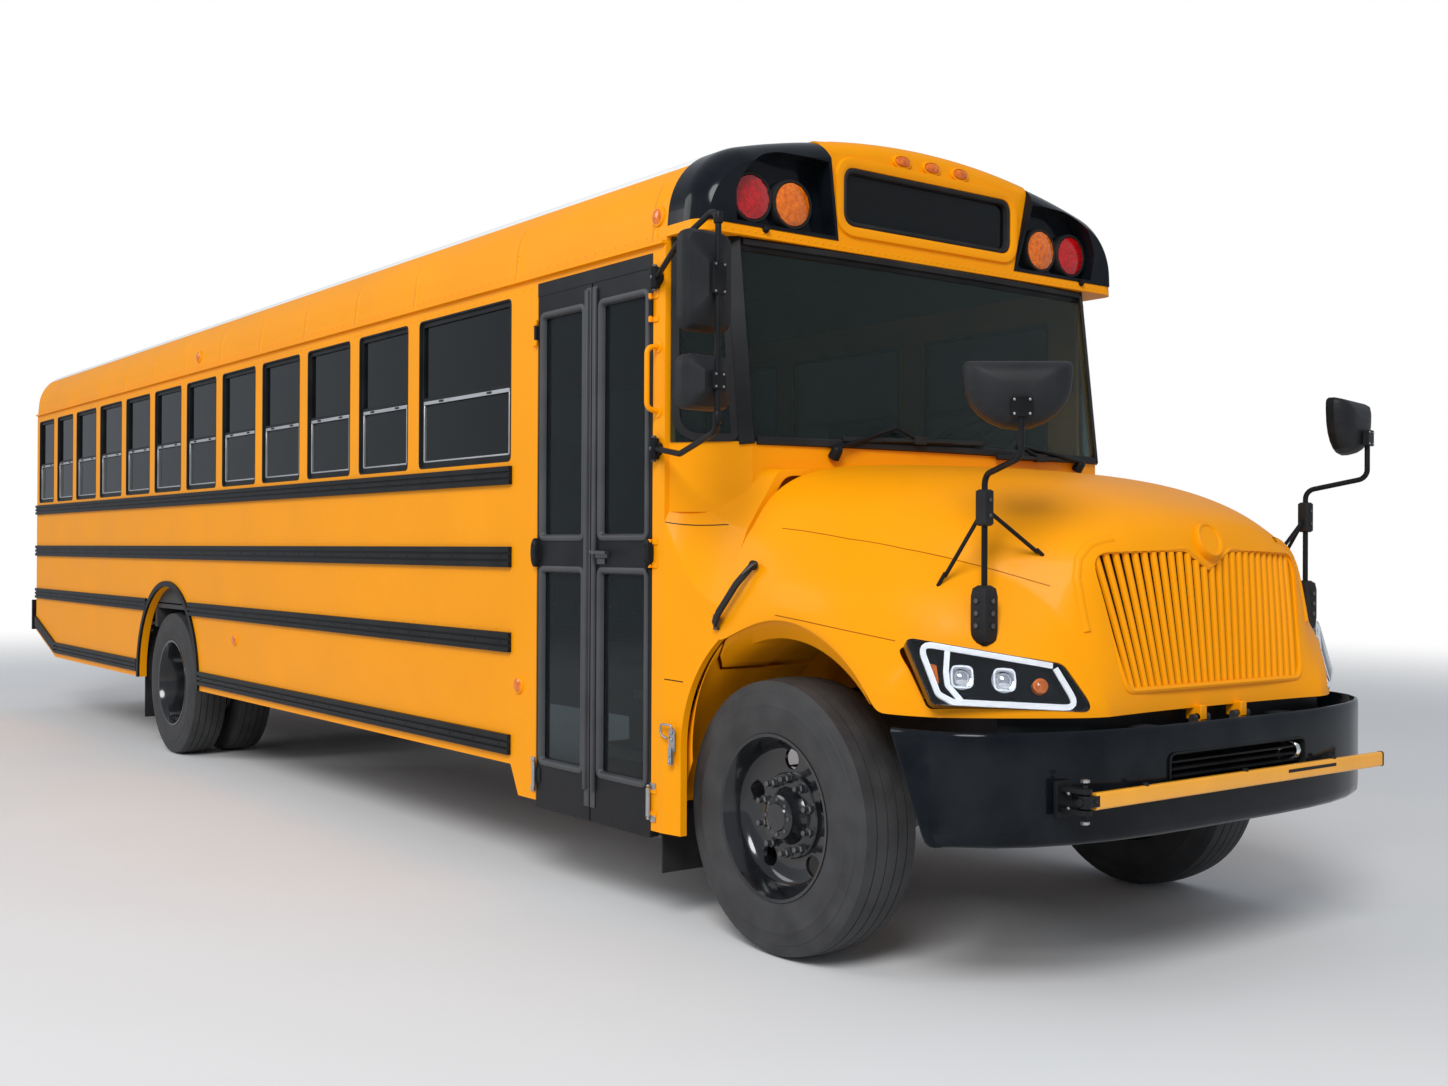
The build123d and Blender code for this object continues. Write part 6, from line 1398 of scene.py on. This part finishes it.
def build_stop_arm():
    """White border and lamps on both faces of the stop arm."""
    border, lamps, bases = shapes(3)
    centre_x, centre_z, outer_y = -2.275, 1.603, 1.2555

    def octagon(radius, y):
        reach = radius / math.cos(math.pi / 8)
        return [Vector((centre_x + reach * math.cos(a), y, centre_z + reach * math.sin(a)))
                for a in (degrees(22.5 + 45 * n) for n in range(8))]
    for y0, y1 in ((outer_y, outer_y + 0.0012), (outer_y - 0.0092, outer_y - 0.008)):
        border.rings([octagon(0.221, y0), octagon(0.2205, y1), octagon(0.2005, y1),
                      octagon(0.2, y0)], caps=False)
    for dz in (-0.155, 0.155):
        for y, side in ((outer_y, 1), (outer_y - 0.0085, -1)):
            lamps.lathe([(0.0, 0.034), (0.006, 0.033), (0.011, 0.024), (0.013, 0.01),
                         (0.0135, 0.001)], (centre_x, y, centre_z + dz), (0, side, 0), 28)
            bases.lathe([(-0.001, 0.042), (0.005, 0.041), (0.006, 0.034)],
                        (centre_x, y, centre_z + dz), (0, side, 0), 28, caps=False)
    piece("stop_border", border, sign_white, "stop_arm")
    piece("stop_lamps", lamps, red_lens, "stop_arm")
    piece("stop_bases", bases, satin_black, "stop_arm")


def pillow(name, middle, half, crown, lean=0.0, pull=0.06):
    """Padded, crowned cushion round a middle point; its sides pull in between the corners."""
    turn = Matrix.Rotation(lean, 3, "Y")
    rings = []
    for t, scale in ((-1.0, 0.1), (-1.0, 0.72), (-0.985, 0.9), (-0.94, 0.985), (-0.6, 1.0),
                     (-0.2, 1.0), (0.2, 1.0), (0.6, 1.0), (0.94, 0.985), (0.985, 0.9), (1.0, 0.72),
                     (1.0, 0.1)):
        ring = []
        for i in range(24):
            a = 2 * math.pi * i / 24
            cx = math.copysign(abs(math.cos(a)) ** 0.38, math.cos(a))
            cz = math.copysign(abs(math.sin(a)) ** 0.38, math.sin(a))
            x = half[0] * cx * scale * (1 - pull * (1 - t * t))
            z = half[2] * cz * scale + (crown * (1 - t * t) * (1 - cx * cx) if cz > 0 else 0.0)
            ring.append(Vector(middle)
                        + turn @ Vector((x, half[1] * t * (1 - 0.03 * (1 - cx * cx)), z)))
        rings.append(ring)
    piece(name, Shape().rings(rings), vinyl, smooth=70)


def build_seats():
    """Passenger seats on their frames."""
    frames = Shape()
    count = 0
    for outer, first, rows in ((1.155, -2.05, 11), (-0.215, -2.33, 10)):
        y = outer - 0.47
        for n in range(rows):
            x = first - seat_pitch * n
            count += 1
            pillow(f"seat_cushion_{count}", (x - 0.215, y, 1.425), (0.215, 0.468, 0.06), 0.02)
            pillow(f"seat_back_{count}", (x - 0.478, y, 1.745), (0.048, 0.468, 0.3), 0.012, -0.12,
                   0.02)
            for dy in (-0.4, 0.3):
                for leg in (x - 0.4, x - 0.1):
                    frames.box((leg, y + dy, 1.05), (leg + 0.04, y + dy + 0.03, 1.37))
                frames.box((x - 0.42, y + dy, 1.35), (x - 0.02, y + dy + 0.03, 1.372))
                frames.box((x - 0.43, y + dy - 0.01, 1.05), (x - 0.02, y + dy + 0.04, 1.056))
    piece("seat_frames", frames, dark_steel, replaces=("passenger_seats",))


def build_driver_place():
    """Driver's seat, steering wheel and pod of the dashboard, and the ribs of the aisle."""
    pillow("driver_cushion", (-1.13, 0.64, 1.44), (0.225, 0.245, 0.065), 0.02)
    pillow("driver_back", (-1.385, 0.64, 1.77), (0.055, 0.235, 0.31), 0.012, -0.14, 0.03)
    base = Shape().box((-1.32, 0.48, 1.05), (-1.0, 0.8, 1.375))
    piece("driver_base", base, satin_black, bevel=0.02, replaces=("driver_seat",))
    grip, pod, mats = shapes(3)
    tilt, wheel_middle = (-0.5, 0, 0.87), (-0.69, 0.64, 1.965)
    grip.lathe([(-0.014, 0.22)] + [(0.014 * math.sin(a), 0.22 + 0.014 * math.cos(a))
                                   for a in (2 * math.pi * n / 10 for n in range(-2, 9))],
               wheel_middle, tilt, caps=False)
    pod.lathe([(-0.03, 0.07), (0.012, 0.062), (0.018, 0.04)], wheel_middle, tilt, 28)
    pod.rings([[(x, 0.64 + u, v) for u, v in rectangle(-h, h, 1.8, top, 0.04)]
               for x, h, top in ((-0.6, 0.24, 1.86), (-0.64, 0.25, 1.9), (-0.7, 0.23, 1.885))])
    for n in range(4):
        mats.box((-10.4, -0.2 + 0.11 * n, 1.0505), (-1.55, -0.12 + 0.11 * n, 1.0535))
    piece("wheel_grip", grip, grained_black, smooth=60)
    piece("dash_pod", pod, grained_black, bevel=0.006)
    piece("aisle_ribs", mats, floor_rubber)


def build_liner():
    """Dark ceiling inside the roof, left open under the two hatches."""
    ceiling = Shape()
    arc = [(y, min(3.055 - y * y / 7.4, 2.64 + 4.2 * (1.15 - abs(y))))
           for y in (lerp(-1.135, 1.135, n / 16) for n in range(17))]
    whole, sides = (arc,), (arc[:6], arc[-6:])
    for rear, front, spans in ((-10.36, -8.62, whole), (-7.98, -3.62, whole), (-2.98, -0.62, whole),
                               (-8.62, -7.98, sides), (-3.62, -2.98, sides)):
        for span in spans:
            ceiling.sheet([[(x, y, z) for y, z in span] for x in (rear, front)])
    walls = Shape()
    for hand in hands:
        walls.box((-10.36, hand * 1.166, 1.06), (-1.6, hand * 1.168, 1.84))
    piece("ceiling", ceiling, liner_grey, thick=0.003)
    piece("wall_liners", walls, liner_grey)


def build_underside():
    """Leaf packs, spring clamps, tank straps, and the bars and bolts of the mud flaps."""
    leaves, clamps, straps, bolts = shapes(4)
    for station, half, seat in ((0.0, 0.7, 0.5), (rear_axle_x, 0.76, 0.563)):
        for hand in hands:
            y = hand * 0.43
            for n in range(5):
                reach = half * (1 - 0.16 * n)  # each leaf is shorter than the one above
                z = seat + 0.052 - 0.01 * n
                leaves.box((station - reach, y - 0.0385, z - 0.004),
                           (station + reach, y + 0.0385, z - 0.001))
            for x in (station - 0.07, station + 0.07):
                hoop = [(x, y + dy, z) for dy, z in ((-0.047, seat - 0.09), (-0.047, seat + 0.075),
                                                     (0.047, seat + 0.075), (0.047, seat - 0.09))]
                clamps.strip(bent(hoop, 0.01, 3), 0.014, 0.01, (1, 0, 0))
    low, high = node_box("fuel_tank")
    for share in (0.22, 0.5, 0.78):
        x = lerp(low.x, high.x, share)
        top, foot, side = high.z - 0.004, low.z + 0.004, low.y + 0.004
        for start, end, up in (((high.y - 0.02, top), (low.y + 0.03, top), (0, 0, 1)),
                               ((side, high.z - 0.03), (side, low.z + 0.03), (0, -1, 0)),
                               ((low.y + 0.03, foot), (high.y - 0.02, foot), (0, 0, -1))):
            straps.strip([(x, *start), (x, *end)], 0.045, 0.006, up)
    for x, inner, top in ((-0.61, 0.76, 0.9), (-7.29, 0.6, 0.88)):
        for hand in hands:
            for n in range(4):
                y = hand * lerp(inner + 0.05, 1.12, n / 3)
                bolts.lathe([(0, 0.01), (0.0036, 0.008), (0.006, 0.003)],
                            (x + 0.0005, y, top - 0.04), (1, 0, 0), 10)
            straps.strip([(x + 0.001, hand * y, top - 0.06) for y in (inner + 0.02, 1.15)], 0.004,
                         0.04, (0, 0, 1))
    piece("leaf_edges", leaves, dark_steel)
    piece("spring_clamps", clamps, dark_steel)
    piece("tank_straps", straps, frame_black)
    piece("flap_bolts", bolts, steel)


for build in (build_nose_details, build_liners, build_bumper, build_crossing_arm, build_mirrors,
              build_cross_mirrors, build_rear, build_stop_arm, build_seats,
              build_driver_place, build_liner, build_underside):
    build()


def camera():
    """The photo's camera: place, direction and lens come from a fit to its points."""
    made = bpy.data.cameras.new("camera")
    made.lens = 37.494
    made.sensor_width = 36.0
    made.clip_end = 200.0
    camera_object = linked("camera", made)
    azimuth, pitch, roll = degrees(52.704), degrees(-0.262), degrees(0.275)
    forward = Vector((-math.sin(azimuth) * math.cos(pitch), math.cos(azimuth) * math.cos(pitch),
                      -math.sin(pitch)))
    level = Vector((math.cos(azimuth), math.sin(azimuth), 0))
    above = level.cross(forward)
    across = level * math.cos(roll) + above * math.sin(roll)
    up = above * math.cos(roll) - level * math.sin(roll)
    turn = Matrix((across, up, -forward)).transposed().to_4x4()
    camera_object.matrix_world = Matrix.Translation((axle_x + 4.187, -4.532, 1.455)) @ turn
    bpy.context.scene.camera = camera_object


def area_lamp(name, place, target, size, power):
    lamp = bpy.data.lights.new(name, "AREA")
    lamp.shape = "DISK"
    lamp.size = size
    lamp.energy = power
    holder = linked(name, lamp)
    holder.location = place
    holder.rotation_mode = "QUATERNION"
    holder.rotation_quaternion = (Vector(target) - Vector(place)).to_track_quat("-Z", "Y")


def studio():
    """Pale floor that fades out round the bus, white sky and two soft lamps."""
    pale = finish("studio_floor", (0.78, 0.78, 0.78), 0.9, mottle=0.02, scale=0.4, relief=0.0)
    nodes = pale.node_tree.nodes
    place, reach = nodes.new("ShaderNodeNewGeometry"), nodes.new("ShaderNodeVectorMath")
    reach.operation = "LENGTH"
    fade = nodes.new("ShaderNodeMapRange")
    fade.interpolation_type = "SMOOTHSTEP"
    set_inputs(fade, From_Min=8.0, From_Max=20.0)
    clear, mix = nodes.new("ShaderNodeBsdfTransparent"), nodes.new("ShaderNodeMixShader")
    wire(pale, (place, "Position", reach, 0), (reach, "Value", fade, "Value"),
         (fade, "Result", mix, "Fac"), (nodes["Principled BSDF"], 0, mix, 1), (clear, 0, mix, 2),
         (mix, 0, nodes["Material Output"], "Surface"))
    ground = bpy.data.meshes.new("floor_plane")
    ground.from_pydata([(-60, -60, 0), (60, -60, 0), (60, 60, 0), (-60, 60, 0)], [], [(0, 1, 2, 3)])
    plane = linked("studio_floor", ground)
    ground.materials.append(pale)
    world = bpy.data.worlds.new("studio")
    bpy.context.scene.world = world
    world.use_nodes = True
    nodes = world.node_tree.nodes
    nodes.clear()
    out = nodes.new("ShaderNodeOutputWorld")
    soft, seen = nodes.new("ShaderNodeBackground"), nodes.new("ShaderNodeBackground")
    set_inputs(soft, Color=(0.86, 0.92, 1.0, 1), Strength=0.48)
    set_inputs(seen, Color=(1, 1, 1, 1), Strength=1.0)
    path = nodes.new("ShaderNodeLightPath")
    mix = nodes.new("ShaderNodeMixShader")
    wire(world, (path, "Is Camera Ray", mix, "Fac"), (soft, 0, mix, 1), (seen, 0, mix, 2),
         (mix, 0, out, "Surface"))
    area_lamp("key", (14, -12, 13), (2, 0, 1.2), 8.0, 2500)
    area_lamp("fill", (-8, -14, 9), (-1, 0, 1.5), 9.0, 700)
    bpy.context.scene.view_settings.view_transform = "Standard"


camera()
studio()
